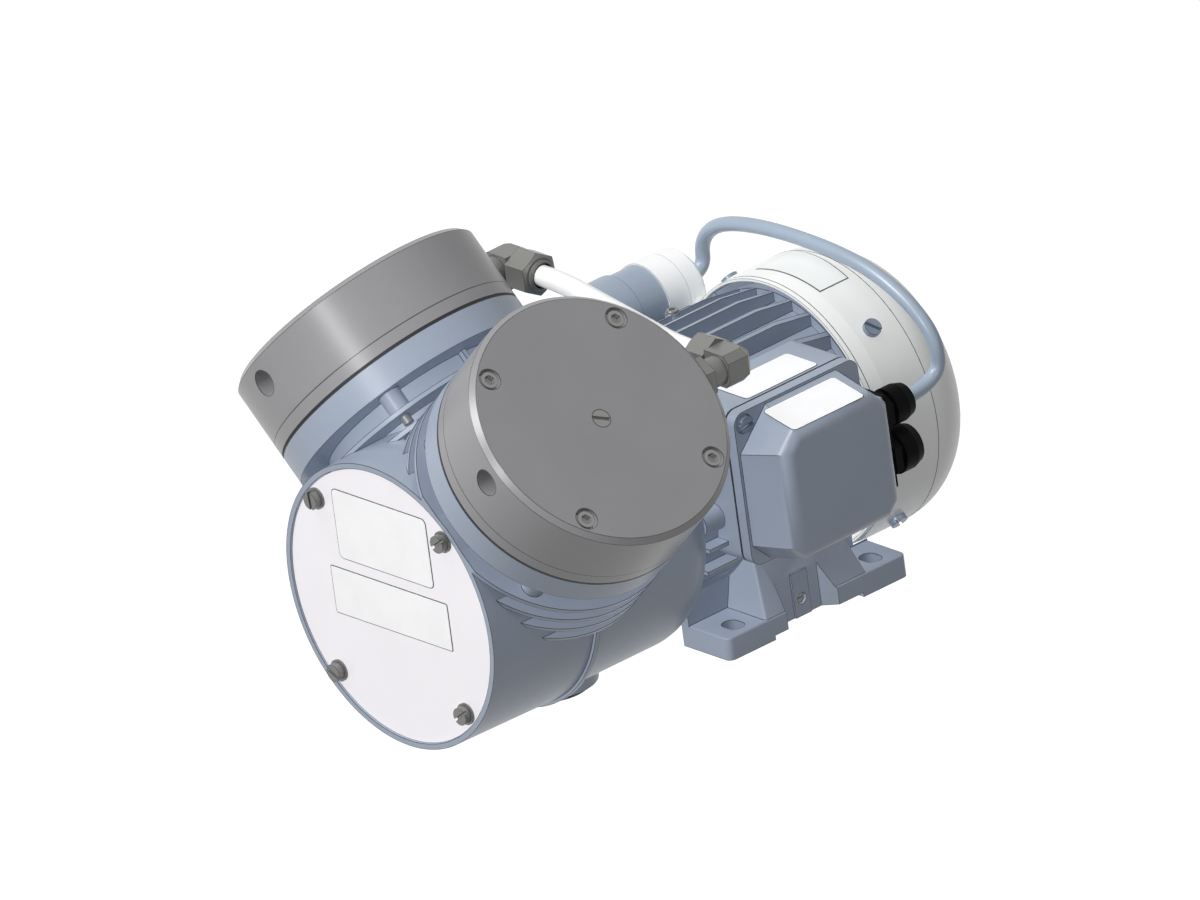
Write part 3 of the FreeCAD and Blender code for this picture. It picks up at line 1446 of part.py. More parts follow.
def make_lid_screws():
    master = slotted_screw("lid_screw", LID_SCREW_RADIUS, 4.6, 3.0, d.lid_rim + d.gasket_thickness + 8)
    places = []
    for index, (along, high) in enumerate(lid_corners):
        base = Vector(lid_start + d.lid_rim, d.box_middle_y + along, d.box_middle_height + high)
        places.append(Placement(base, facing(Vector(1, 0, 0), 15 + 40 * index)))
    group("lid_screws", master, places)


def make_terminal_block():
    body = box_body("terminal_block")
    floor = d.box_face - d.box_depth
    extruded(body, "YZ_Plane", floor, 10, [rectangle(-24, 24, -9, 9)])
    studs = [(-18 + 9 * index, 0, 1.8) for index in range(5)]
    extruded(body, "YZ_Plane", floor + 9, 7, studs)


def make_entry_plate():
    body = box_body("cable_entry_plate")
    pad_high = d.upper_gland_height + 13 - d.box_middle_height
    pad_low = d.lower_gland_height - 16 - d.box_middle_height
    face = d.box_side / 2
    extruded(body, "XZ_Plane", face, d.entry_thickness,
             [rectangle(lid_start + 0.5, lid_start + ENTRY_REACH, pad_low, pad_high)])
    dressed(body, "Fillet", 2.5, lambda edge: is_straight_along(edge, Vector(0, 1, 0)))
    holes = [
        (d.gland_x, height - d.box_middle_height, radius)
        for height, radius in ((d.upper_gland_height, UPPER_THREAD), (d.lower_gland_height, LOWER_THREAD))
    ]
    extruded(body, "XZ_Plane", face, d.entry_thickness, holes, cut=True)


def make_gland(name, height, radius, thread, bore):
    """Cable gland along Y: thread, hexagon, body and domed cap nut."""
    face = d.box_middle_y + d.box_side / 2 + d.entry_thickness
    body = new_body(name, (d.gland_x, face, height))
    length = d.gland_length
    turned(body, "XY_Plane", [
        (bore, -11), (thread - d.fit_gap, -11), (thread - d.fit_gap, 0), (radius * 0.8, 0),
        (radius * 0.8, length * 0.35), (radius, length * 0.35), (radius, length * 0.75),
        (radius * 0.86, length), (bore, length),
    ])
    flat = extruded(body, "XZ_Plane", 0, 5, [polygon(radius * 1.85), (0, 0, bore)])
    return body


def make_glands():
    make_gland("upper_cable_gland", d.upper_gland_height, d.upper_gland_radius, UPPER_THREAD, 3.0)
    upper = nodes[-1]
    extruded(upper, "XZ_Plane", d.gland_length - CABLE_POCKET, CABLE_POCKET,
             [(0, 0, d.cable_diameter / 2 + d.fit_gap)], cut=True)
    make_gland("lower_cable_gland", d.lower_gland_height, d.lower_gland_radius, LOWER_THREAD,
               MAINS_CABLE_RADIUS)


MAINS_CABLE_RADIUS = 5.0


# Fittings and transfer tube

port_plane = d.head_radius - 1
block_half = d.elbow_width / 2


def port_place(side):
    sign, head_y = HEADS[side]
    way = head_direction(side)
    return (way.x * d.port_height, head_y, d.shaft_height + way.z * d.port_height)


def make_elbow(side):
    """Forged elbow: thread in the port, square block, arm to the other head."""
    sign = HEADS[side][0]
    across, head_y, height = port_place(side)
    corner_y = head_y + d.head_radius + d.elbow_reach
    body = new_body(side + "_elbow", (across, corner_y, height))
    to_port = d.head_radius + d.elbow_reach - port_plane
    leg = block_half - 1
    thread = d.port_radius - d.fit_gap
    turned(body, "XY_Plane", [
        (0, -to_port - 11), (thread, -to_port - 11), (thread, -to_port + d.collar_length),
        (leg, -to_port + d.collar_length), (leg, 0), (0, 0),
    ])
    bevel = d.elbow_width / 4
    outer = sign * block_half
    extruded(body, "XY_Plane", -block_half, d.elbow_width, [[
        (-outer, -block_half), (outer, -block_half), (outer, block_half - bevel),
        (outer - sign * bevel, block_half), (-outer, block_half),
    ]])
    start, end = sorted((0.0, -sign * (block_half + d.elbow_arm)))
    extruded(body, "YZ_Plane", start, end - start, [(0, 0, leg)])
    bore = d.tube_radius
    extruded(body, "YZ_Plane", start, end - start, [(0, 0, bore)], cut=True)
    extruded(body, "XZ_Plane", -to_port - 12, to_port + 12, [(0, 0, bore - 1.5)], cut=True)


def make_port_collars():
    body = new_body("port_collar", finished=False)
    extruded(body, "XZ_Plane", 0, d.collar_length, [polygon(d.collar_width), (0, 0, d.port_radius)])
    places = []
    for side, (sign, head_y) in HEADS.items():
        across, port_y, height = port_place(side)
        places.append(Placement(Vector(across, port_y + port_plane, height), Rotation()))
    group("port_collars", body, places)


def make_compression_nuts():
    arm = block_half - 1 + d.fit_gap
    body = new_body("compression_nut", finished=False)
    extruded(body, "YZ_Plane", 0, d.nut_length, [polygon(d.nut_width)])
    extruded(body, "YZ_Plane", 0, d.elbow_arm, [(0, 0, arm)], cut=True)
    extruded(body, "YZ_Plane", 0, d.nut_length, [(0, 0, d.tube_radius + d.fit_gap)], cut=True)
    round_edges = d.nut_width / 2 * 1.12
    beyond = d.nut_width
    turned(body, "XY_Plane", [
        (round_edges - 2, d.nut_length), (beyond, d.nut_length), (beyond, d.nut_length - 4),
    ], cut=True, rotation=Rotation(Vector(0, 0, 1), -90))
    places = []
    for side, (sign, head_y) in HEADS.items():
        across, port_y, height = port_place(side)
        base = Vector(across - sign * block_half, port_y + d.head_radius + d.elbow_reach, height)
        turn = Rotation(Vector(0, 0, 1), 180 if sign > 0 else 0)
        places.append(Placement(base, turn))
    group("compression_nuts", body, places)


def rounded_path(points):
    """Straight runs joined by tangent arcs; returns the wire and the arc radii."""
    edges = []
    radii = []
    start = points[0]
    for before, corner, after in zip(points, points[1:], points[2:]):
        back = (before - corner).normalize()
        ahead = (after - corner).normalize()
        turn = math.pi - back.getAngle(ahead)
        run = 0.45 * min((before - corner).Length, (after - corner).Length)
        radii.append(run / math.tan(turn / 2))
        enter = corner + back * run
        leave = corner + ahead * run
        middle = (back + ahead).normalize()
        centre = corner + middle * (radii[-1] / math.cos(turn / 2))
        halfway = centre - middle * radii[-1]
        edges.append(Part.LineSegment(start, enter).toShape())
        edges.append(Part.Arc(enter, halfway, leave).toShape())
        start = leave
    edges.append(Part.LineSegment(start, points[-1]).toShape())
    return Part.Wire(edges), radii


def swept(name, points, radius, bore=0.0):
    """A round cord or tube along a rounded path."""
    path, radii = rounded_path(points)
    way = points[1] - points[0]
    rings = [Part.Wire(Part.Circle(points[0], way, float(size)).toShape())
             for size in (radius, bore) if float(size) > 0]
    solids = [path.makePipeShell([ring], True, True) for ring in rings]
    shape = solids[0].cut(solids[1]) if len(solids) == 2 else solids[0]
    thing = doc.addObject("Part::Feature", name)
    thing.Shape = shape
    keep(thing, name)
    area = math.pi * (float(radius) ** 2 - float(bore) ** 2)
    print("%s: length %.1f, volume %.0f, section times length %.0f, radii %s" % (
        name, path.Length, shape.Volume, area * path.Length,
        " ".join("%.1f" % value for value in radii)))


def make_transfer_tube():
    ends = {}
    for side, (sign, head_y) in HEADS.items():
        across, port_y, height = port_place(side)
        mouth = across - sign * (block_half + 3)
        ends[side] = (Vector(mouth, port_y + d.head_radius + d.elbow_reach, height), sign)
    points = []
    for side in ("right", "left"):
        end, sign = ends[side]
        inner = end - Vector(sign * TUBE_STRAIGHT, 0, 0)
        points += [end, inner] if side == "right" else [inner, end]
    swept("transfer_tube", points, d.tube_radius - d.fit_gap, d.tube_radius - 1.5)


TUBE_STRAIGHT = 32.0


# Capacitor and its cable

CABLE_POCKET = 2.0

capacitor_axis = (d.capacitor_x, 0, d.capacitor_height)


def make_capacitor():
    body = new_body("capacitor_can", capacitor_axis)
    radius = d.capacitor_radius
    rear = d.capacitor_cap_start + 3
    turned(body, "XY_Plane", [
        (0, d.capacitor_front), (radius - 2, d.capacitor_front), (radius, d.capacitor_front + 2),
        (radius, rear - 1), (radius - 1, rear), (0, rear),
    ])
    cap = new_body("capacitor_cap", capacitor_axis)
    outer = d.capacitor_cap_radius
    inner = radius + d.fit_gap
    hole = d.cable_diameter / 2 + d.fit_gap
    turned(cap, "XY_Plane", [
        (inner, d.capacitor_cap_start), (outer, d.capacitor_cap_start),
        (outer, d.capacitor_cap_step), (outer - 0.5, d.capacitor_cap_step),
        (outer - 0.5, d.capacitor_rear - 2), (outer - 2.5, d.capacitor_rear),
        (hole, d.capacitor_rear), (hole, d.capacitor_rear - CABLE_POCKET),
        (0, d.capacitor_rear - CABLE_POCKET), (0, d.capacitor_rear - 4),
        (radius - 3, d.capacitor_rear - 4), (radius - 3, rear), (inner, rear),
    ])


def make_clamp():
    """Band round the capacitor with a foot on the frame's pad."""
    turn = Rotation(Vector(0, 1, 0), capacitor_lean)
    body = new_body("capacitor_clamp", capacitor_axis, turn)
    inner = d.capacitor_radius + d.fit_gap
    outer = inner + d.clamp_thickness
    rear = d.clamp_front + d.clamp_width
    turned(body, "XY_Plane", rectangle(inner, outer, d.clamp_front, rear))
    foot_drop = capacitor_distance - pad_height
    extruded(body, "XZ_Plane", d.clamp_front, d.clamp_width, [
        rectangle(-pad_half_width, pad_half_width, -foot_drop, -(inner - 1)),
    ])
    extruded(body, "XZ_Plane", d.clamp_front, d.clamp_width, [(0, 0, inner)], cut=True)


def make_cable():
    gland_end = d.box_middle_y + d.box_side / 2 + d.entry_thickness + d.gland_length
    x, z = float(d.capacitor_x), float(d.capacitor_height)
    end_x, end_z = float(d.gland_x), float(d.upper_gland_height)
    points = [
        Vector(x, d.capacitor_rear - CABLE_POCKET, z),
        Vector(x, 84.6, z),
        Vector(x, 84.8, z + 20),
        Vector(-68, 85, 165.5),
        Vector(-22, 85.5, 172),
        Vector(38, 86.5, 169.5),
        Vector(74, 86.5, 158),
        Vector(end_x + 1.5, 86.5, 138),
        Vector(end_x, 86, end_z),
        Vector(end_x, gland_end - CABLE_POCKET, end_z),
    ]
    swept("capacitor_cable", points, d.cable_diameter / 2)


def build():
    make_crankcase()
    make_rubber_foot()
    make_front_cover()
    make_cover_screws()
    make_head_screws()
    make_centre_screws()
    make_eccentric()
    make_rod_bearing_rings()
    make_shaft()
    make_rotor()
    make_motor_bearings()
    make_shaft_seal()
    make_motor_frame()
    make_flange_screws()
    make_earth_screw()
    make_stator()
    make_windings()
    make_end_shield()
    make_cowl()
    make_cowl_screws()
    make_fan()
    make_box_base()
    make_gasket()
    make_lid()
    make_lid_screws()
    make_terminal_block()
    make_entry_plate()
    make_glands()
    make_port_collars()
    make_compression_nuts()
    make_transfer_tube()
    make_capacitor()
    make_clamp()
    make_cable()
    for side in HEADS:
        make_valve_plate(side)
        make_valve_disc(side)
        make_head_cap(side)
        make_rod(side)
        make_rod_bearing(side)
        make_support_disc(side)
        make_clamp_disc(side)
        make_diaphragm(side)
        make_elbow(side)


def write_pieces():
    """Checks every object and writes each finished piece."""
    doc.recompute()
    bad = [thing.Label for thing in doc.Objects
           if "Invalid" in thing.State or "Error" in thing.State]
    if bad:
        raise ValueError("objects in error: " + ", ".join(bad))
    os.makedirs("parts", exist_ok=True)
    for thing in nodes:
        shape = thing.Shape
        if shape.isNull() or not shape.isValid():
            raise ValueError(thing.Label + " has no valid shape")
        shape.exportStep("parts/%s.step" % thing.Label)
    print("%d pieces written" % len(nodes))


build()
write_pieces()
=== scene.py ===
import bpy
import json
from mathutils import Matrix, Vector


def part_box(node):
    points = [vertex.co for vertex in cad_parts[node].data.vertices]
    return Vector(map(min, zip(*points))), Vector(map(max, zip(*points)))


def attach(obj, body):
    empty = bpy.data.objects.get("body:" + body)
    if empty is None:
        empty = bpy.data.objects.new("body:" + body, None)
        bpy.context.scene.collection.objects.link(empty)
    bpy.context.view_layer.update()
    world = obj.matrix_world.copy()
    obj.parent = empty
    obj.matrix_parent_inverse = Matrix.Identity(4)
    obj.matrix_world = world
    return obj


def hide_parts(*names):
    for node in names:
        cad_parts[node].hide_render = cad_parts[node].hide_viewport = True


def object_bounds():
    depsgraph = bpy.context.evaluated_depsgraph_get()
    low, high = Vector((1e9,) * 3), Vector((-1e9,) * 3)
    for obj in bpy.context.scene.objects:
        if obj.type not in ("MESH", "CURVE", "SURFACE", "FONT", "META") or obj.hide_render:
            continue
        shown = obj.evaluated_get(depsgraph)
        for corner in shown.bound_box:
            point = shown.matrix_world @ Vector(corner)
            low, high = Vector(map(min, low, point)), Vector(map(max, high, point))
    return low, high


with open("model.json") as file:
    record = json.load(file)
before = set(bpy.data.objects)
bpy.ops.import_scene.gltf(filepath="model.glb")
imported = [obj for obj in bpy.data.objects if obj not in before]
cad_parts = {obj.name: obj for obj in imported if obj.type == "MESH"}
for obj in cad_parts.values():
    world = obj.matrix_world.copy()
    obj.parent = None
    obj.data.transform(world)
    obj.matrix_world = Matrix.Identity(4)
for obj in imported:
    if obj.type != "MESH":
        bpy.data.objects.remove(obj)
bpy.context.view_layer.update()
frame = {"nodes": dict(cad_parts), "record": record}

import json
import math

import bmesh
import bpy
from mathutils import Matrix, Vector

MM = 0.001
SHAFT_HEIGHT = 80
scene = bpy.context.scene

# Camera: a parallel view from the front right and above, slightly rolled

CAMERA_AZIMUTH = math.radians(51.01)
CAMERA_ELEVATION = math.radians(24.06)
CAMERA_ROLL = math.radians(-7.72)
VIEW_WIDTH = 0.6431
VIEW_CENTRE = Vector((55.19, -118.82, 141.84)) * MM
CAMERA_DISTANCE = 1.5
CAMERA_REACH = 20


def make_camera():
    data = bpy.data.cameras.new("camera")
    data.type = "ORTHO"
    data.ortho_scale = VIEW_WIDTH
    data.clip_end = CAMERA_REACH
    camera = bpy.data.objects.new("camera", data)
    scene.collection.objects.link(camera)
    turn = (
        Matrix.Rotation(CAMERA_AZIMUTH, 4, "Z")
        @ Matrix.Rotation(math.pi / 2 - CAMERA_ELEVATION, 4, "X")
        @ Matrix.Rotation(CAMERA_ROLL, 4, "Z")
    )
    back = turn.to_3x3() @ Vector((0, 0, 1))
    camera.matrix_world = Matrix.Translation(VIEW_CENTRE + back * CAMERA_DISTANCE) @ turn
    scene.camera = camera


make_camera()


# Capacitor cable, from the capacitor's cap over the fan cowl to the upper gland

CABLE_DIAMETER = 8.2
CABLE_ROUTE = [
    (-87.2, 66.2, 130.6),
    (-87.2, 84.6, 130.6),
    (-87.2, 84.8, 150.6),
    (-68, 85, 165.5),
    (-22, 85.5, 172),
    (38, 86.5, 169.5),
    (74, 86.5, 158),
    (98.5, 86.5, 138),
    (97, 86, 112),
    (97, 58, 112),
]


def make_cable():
    curve = bpy.data.curves.new("capacitor_lead", "CURVE")
    curve.dimensions = "3D"
    curve.resolution_u = 12
    curve.bevel_depth = 1
    curve.bevel_resolution = 6
    spline = curve.splines.new("NURBS")
    spline.points.add(len(CABLE_ROUTE) - 1)
    for point, place in zip(spline.points, CABLE_ROUTE):
        point.co = (*(Vector(place) * MM), 1)
        point.radius = CABLE_DIAMETER / 2 * MM
    spline.order_u = 3
    spline.use_endpoint_u = True
    cable = bpy.data.objects.new("capacitor_lead", curve)
    scene.collection.objects.link(cable)
    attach(cable, "housing")
    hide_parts("capacitor_cable")
    return cable


cable = make_cable()


# Materials

EDGE_SAMPLES = 8
EDGE_START = 0.998
EDGE_FULL = 0.98
NOISE_ROUGHNESS = 0.6
PAINT_PATCHES = 18
PAINT_GRAIN = 900
PLASTIC_PATCHES = 40
PLASTIC_GRAIN = 1600
GRAIN_HEIGHT = 0.1


def linear(red, green, blue):
    """A screen colour of 0 to 255 as linear light."""
    channels = []
    for value in (red, green, blue):
        share = value / 255
        channels.append(share / 12.92 if share <= 0.04045 else ((share + 0.055) / 1.055) ** 2.4)
    return (*channels, 1.0)


def new_material(name):
    material = bpy.data.materials.new(name)
    material.use_nodes = True
    return material, material.node_tree.nodes, material.node_tree.links


def noise(nodes, links, scale, detail):
    """A noise texture in the object's own coordinates, in metres."""
    place = nodes.new("ShaderNodeTexCoord")
    texture = nodes.new("ShaderNodeTexNoise")
    texture.inputs["Scale"].default_value = scale
    texture.inputs["Detail"].default_value = detail
    texture.inputs["Roughness"].default_value = NOISE_ROUGHNESS
    links.new(place.outputs["Object"], texture.inputs["Vector"])
    return texture.outputs["Fac"]


def ramp(nodes, links, value, low, high, dark, light):
    """Two colours blended by a value between two stops."""
    blend = nodes.new("ShaderNodeValToRGB")
    blend.color_ramp.elements[0].position = low
    blend.color_ramp.elements[1].position = high
    blend.color_ramp.elements[0].color = dark
    blend.color_ramp.elements[1].color = light
    links.new(value, blend.inputs["Fac"])
    return blend.outputs["Color"]


def edge_mask(nodes, links, width):
    """Nought on open faces and one along edges and creases, within a width: the mask of the painted edge
    shade.
    """
    bevel = nodes.new("ShaderNodeBevel")
    bevel.samples = EDGE_SAMPLES
    bevel.inputs["Radius"].default_value = width
    face = nodes.new("ShaderNodeNewGeometry")
    product = nodes.new("ShaderNodeVectorMath")
    product.operation = "DOT_PRODUCT"
    links.new(bevel.outputs["Normal"], product.inputs[0])
    links.new(face.outputs["Normal"], product.inputs[1])
    spread = nodes.new("ShaderNodeMapRange")
    spread.inputs["From Min"].default_value = EDGE_START
    spread.inputs["From Max"].default_value = EDGE_FULL
    links.new(product.outputs["Value"], spread.inputs["Value"])
    return spread.outputs["Result"]


def mixed(nodes, links, share, first, second):
    mix = nodes.new("ShaderNodeMix")
    mix.data_type = "RGBA"
    links.new(share, mix.inputs["Factor"])
    for socket, value in ((mix.inputs[6], first), (mix.inputs[7], second)):
        if isinstance(value, tuple):
            socket.default_value = value
        else:
            links.new(value, socket)
    return mix.outputs[2]


def bumped(nodes, links, shader, height, strength):
    bump = nodes.new("ShaderNodeBump")
    bump.inputs["Strength"].default_value = strength
    bump.inputs["Distance"].default_value = GRAIN_HEIGHT * MM
    links.new(height, bump.inputs["Height"])
    links.new(bump.outputs["Normal"], shader.inputs["Normal"])


def scaled(colour, factor):
    return tuple(min(1.0, channel * factor) for channel in colour[:3]) + (1.0,)


def painted(name, colour, rough=0.36, bump=0.1, edge=0.08, metallic=0.0, spread=0.03, width=0.65):
    """Paint or bare metal: slight patches, fine grain, and painted shade as dark crisp lines along every
    edge and crease.
    """
    material, nodes, links = new_material(name)
    shader = nodes["Principled BSDF"]
    patches = noise(nodes, links, PAINT_PATCHES, 3)
    body = ramp(nodes, links, patches, 0.35, 0.65, scaled(colour, 1 - spread), scaled(colour, 1 + spread))
    edges = edge_mask(nodes, links, width * MM)
    # painted shade: the colour darkens to a dark line along every edge and crease
    painted_edge_shade = mixed(nodes, links, edges, body, scaled(colour, edge))
    links.new(painted_edge_shade, shader.inputs["Base Color"])
    grains = noise(nodes, links, PAINT_GRAIN, 2)
    bumped(nodes, links, shader, grains, bump)
    shader.inputs["Roughness"].default_value = rough
    shader.inputs["Metallic"].default_value = metallic
    return material


def plastic(name, colour, rough, bump=0.06, gloss=0.5):
    """Moulded plastic or rubber: even colour with a fine matt grain."""
    material, nodes, links = new_material(name)
    shader = nodes["Principled BSDF"]
    patches = noise(nodes, links, PLASTIC_PATCHES, 2)
    body = ramp(nodes, links, patches, 0.3, 0.7, scaled(colour, 0.97), scaled(colour, 1.03))
    links.new(body, shader.inputs["Base Color"])
    grains = noise(nodes, links, PLASTIC_GRAIN, 2)
    bumped(nodes, links, shader, grains, bump)
    shader.inputs["Roughness"].default_value = rough
    shader.inputs["Specular IOR Level"].default_value = gloss
    return material


def pale(name, colour):
    """White paint or moulding with painted shade as thin grey lines along its edges."""
    return painted(name, colour, rough=0.35, bump=0.04, edge=0.3, spread=0.012, width=0.5)


MATERIALS = {
    "blue_grey_casting": painted("blue_grey_casting", linear(148, 158, 174)),
    "grey_head": painted("grey_head", linear(137, 136, 138), rough=0.32),
    "pale_cover": pale("pale_cover", linear(248, 245, 249)),
    "white_cowl": pale("white_cowl", linear(242, 243, 241)),
    "zinc_screws": painted("zinc_screws", linear(138, 138, 137), rough=0.35, metallic=0.3, width=0.35),
    "dark_screws": painted("dark_screws", linear(118, 118, 116), rough=0.35, metallic=0.3, width=0.35),
    "blue_screws": painted("blue_screws", linear(128, 142, 158), rough=0.35, metallic=0.3, width=0.35),
    "spring_steel": painted("spring_steel", linear(180, 180, 182), rough=0.3, metallic=0.9),
    "bearing_steel": painted("bearing_steel", linear(185, 186, 190), rough=0.25, metallic=1.0),
    "core_steel": painted("core_steel", linear(110, 110, 112), rough=0.5, metallic=0.8),
    "rod_metal": painted("rod_metal", linear(190, 192, 194), rough=0.4, metallic=0.9),
    "copper_winding": painted("copper_winding", linear(150, 84, 50), rough=0.4),
    "diaphragm_rubber": plastic("diaphragm_rubber", linear(24, 24, 26), rough=0.7),
    "foot_rubber": plastic("foot_rubber", linear(30, 30, 32), rough=0.75),
    "black_plastic": plastic("black_plastic", linear(4, 4, 5), rough=0.55, gloss=0.05),
    "grey_fitting": painted("grey_fitting", linear(119, 119, 116), rough=0.35, metallic=0.2, width=0.4),
    "white_tube": plastic("white_tube", linear(243, 244, 242), rough=0.25),
    "blue_grey_can": painted("blue_grey_can", linear(150, 162, 178), rough=0.35, bump=0.03, width=0.4),
    "cable_grey": plastic("cable_grey", linear(152, 166, 182), rough=0.3),
    "bright_white": pale("bright_white", linear(246, 247, 248)),
    "label": plastic("label", linear(249, 249, 250), rough=0.4, bump=0.02),
    "label_line": plastic("label_line", linear(34, 35, 38), rough=0.6, bump=0.02),
}

NODE_MATERIALS = {
    "cover_screws": "dark_screws",
    "cowl_screws": "blue_screws",
    "capacitor_cap": "bright_white",
}


def dress(thing, material):
    thing.data.materials.clear()
    thing.data.materials.append(MATERIALS[material])


SLOTS = {entry["node"]: entry["material_slot"] for entry in frame["record"]["subparts"]}
for name, thing in frame["nodes"].items():
    dress(thing, NODE_MATERIALS.get(name, SLOTS[name]))
dress(cable, "cable_grey")


# Forms of the scene's own pieces, in millimetres until they become meshes

SHARP_ANGLE = 35
WELD_DISTANCE = 0.001
SHADING_LAYERS = ("custom_normal", "sharp_edge", "sharp_face")


def axis_place(axis, origin):
    """Turns local z to an axis of the object, with its origin at a point."""
    ways = {
        "X": ((0, 1, 0), (0, 0, 1), (1, 0, 0)),
        "Y": ((0, 0, 1), (1, 0, 0), (0, 1, 0)),
        "Z": ((1, 0, 0), (0, 1, 0), (0, 0, 1)),
    }
    return Matrix.Translation(Vector(origin)) @ Matrix(ways[axis]).transposed().to_4x4()


def facing_place(centre, across, normal):
    """Places a flat form at a centre with its width along across."""
    across = Vector(across).normalized()
    normal = Vector(normal).normalized()
    turn = Matrix((across, normal.cross(across), normal)).transposed().to_4x4()
    return Matrix.Translation(Vector(centre)) @ turn


def rectangle(left, right, low, high):
    return [(left, low), (right, low), (right, high), (left, high)]


def rounded_outline(width, height, radius, steps=6):
    """Corners of a rounded rectangle about the origin."""
    points = []
    for quarter, (side, up) in enumerate(((1, 1), (-1, 1), (-1, -1), (1, -1))):
        middle = Vector((side * (width / 2 - radius), up * (height / 2 - radius)))
        for step in range(steps + 1):
            angle = math.pi / 2 * (quarter + step / steps)
            points.append(tuple(middle + radius * Vector((math.cos(angle), math.sin(angle)))))
    return points


def circle(x, y, radius, steps=32):
    turns = [2 * math.pi * step / steps for step in range(steps)]
    return [(x + radius * math.cos(angle), y + radius * math.sin(angle)) for angle in turns]


def lofted(place, *sections):
    """A closed form through outlines of one count, each given as (height, outline)."""
    form = bmesh.new()
    loops = [[form.verts.new((x, y, height)) for x, y in outline] for height, outline in sections]
    for low, high in zip(loops, loops[1:]):
        for index in range(len(low)):
            after = (index + 1) % len(low)
            form.faces.new((low[index], low[after], high[after], high[index]))
    form.faces.new(loops[0][::-1])
    form.faces.new(loops[-1])
    form.transform(place)
    bmesh.ops.recalc_face_normals(form, faces=form.faces)
    return form


def prism(place, outline, low, high):
    return lofted(place, (low, outline), (high, outline))


def turned(place, profile, steps):
    """A closed form of revolution about local z through (radius, height) points."""
    form = bmesh.new()
    rings = []
    for radius, height in profile:
        if radius == 0:
            rings.append([form.verts.new((0, 0, height))] * steps)
        else:
            rings.append([form.verts.new((x, y, height)) for x, y in circle(0, 0, radius, steps)])
    for low, high in zip(rings, rings[1:]):
        for index in range(steps):
            after = (index + 1) % steps
            corners = [low[index], low[after], high[after], high[index]]
            corners = [corner for place_in, corner in enumerate(corners) if corner not in corners[:place_in]]
            if len(corners) > 2:
                form.faces.new(corners)
    form.transform(place)
    bmesh.ops.recalc_face_normals(form, faces=form.faces)
    return form


def as_thing(name, form):
    """Turns a form in millimetres into an object in metres."""
    form.transform(Matrix.Scale(MM, 4))
    mesh = bpy.data.meshes.new(name)
    form.to_mesh(mesh)
    form.free()
    thing = bpy.data.objects.new(name, mesh)
    scene.collection.objects.link(thing)
    return thing


def fused(thing, *steps):
    """Adds, cuts or intersects forms, each given as (operation, form), and keeps the mesh."""
    helpers = []
    for operation, form in steps:
        helper = as_thing(thing.name + "_helper", form)
        change = thing.modifiers.new("change", "BOOLEAN")
        change.operation = operation
        change.solver = "EXACT"
        change.object = helper
        helpers.append(helper)
    bpy.context.view_layer.update()
    result = thing.evaluated_get(bpy.context.evaluated_depsgraph_get())
    mesh = bpy.data.meshes.new_from_object(result)
    thing.modifiers.clear()
    thing.data = mesh
    for helper in helpers:
        bpy.data.objects.remove(helper)


def finish_piece(thing, material, node=None, sharp=SHARP_ANGLE):
    """Shades a piece, gives it its material and body, and hides the node that it stands for."""
    thing.data.shade_smooth()
    thing.data.set_sharp_from_angle(angle=math.radians(sharp))
    dress(thing, material)
    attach(thing, "housing")
    if node:
        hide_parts(node)


def node_form(node):
    """A node's own mesh as a welded form in millimetres."""
    form = bmesh.new()
    form.from_mesh(frame["nodes"][node].data)
    bmesh.ops.remove_doubles(form, verts=form.verts, dist=WELD_DISTANCE * MM)
    form.transform(Matrix.Scale(1 / MM, 4))
    return form


def node_copy(name, node):
    """A copy of a node, to be changed as a piece of the scene."""
    copy = as_thing(name, node_form(node))
    for layer in SHADING_LAYERS:
        if layer in copy.data.attributes:
            copy.data.attributes.remove(copy.data.attributes[layer])
    return copy


# Terminal box: base with round corners, thick lid rim and eight-sided hood

BOX_MIDDLE = (-9, 100)
BOX_PLACE = axis_place("X", (0, *BOX_MIDDLE))
BOX_SIDE = 90
BOX_CORNER = 7
BOX_BACK = 20
BOX_FACE = 83
SEAL_INSET = 0.5
SEAL_HOLLOW_HALF = 41
SEAL_HOLLOW_CUTS = (12, 12, 12, 22)
LID_START = 84
LID_RIM_FACE = 91
LID_FACE = 122.6
LID_WALL = 3
HOOD_FOOT_HALF = 43.5
HOOD_FOOT_CUTS = (11, 11, 14, 22)
HOOD_FACE_HALVES = (38, 37)
HOOD_FACE_CUTS = (8, 8, 10, 10)
HOOD_ROUND = 7
HOOD_ROUND_STEPS = 6
ENTRY_INNER_EDGE = 31
ENTRY_LOW = -30
ENTRY_HIGH = 25
ENTRY_END = 108
GLAND_ACROSS = 97
GLAND_HEIGHTS = (112, 86)
GLAND_BORE = 8
GLAND_BORE_START = 19
GLAND_BORE_END = 37
LID_SCREW_INSET = 7
LID_SCREW_SEAT_RADIUS = 5.4
LID_SCREW_SEAT_DEPTH = 1.2


def hood_outline(half_along, half_high, corners):
    """Eight-sided outline; corners are cut by their own lengths, from front low to front high."""
    front_low, rear_low, rear_high, front_high = corners
    return [
        (-half_along + front_low, -half_high), (half_along - rear_low, -half_high),
        (half_along, -half_high + rear_low), (half_along, half_high - rear_high),
        (half_along - rear_high, half_high), (-half_along + front_high, half_high),
        (-half_along, half_high - front_high), (-half_along, -half_high + front_low),
    ]


def hood_form(start, end, wall):
    """The lid's hood between two heights, smaller by a wall on each side."""
    along, high = HOOD_FACE_HALVES
    foot = hood_outline(HOOD_FOOT_HALF - wall, HOOD_FOOT_HALF - wall, HOOD_FOOT_CUTS)
    face = hood_outline(along - wall, high - wall, HOOD_FACE_CUTS)
    return lofted(BOX_PLACE, (start, foot), (end, face))


def make_box_base():
    square = rounded_outline(BOX_SIDE, BOX_SIDE, BOX_CORNER)
    base = node_copy("box_base", "terminal_box_base")
    fused(base, ("INTERSECT", prism(BOX_PLACE, square, BOX_BACK, BOX_FACE)))
    finish_piece(base, "blue_grey_casting", "terminal_box_base")


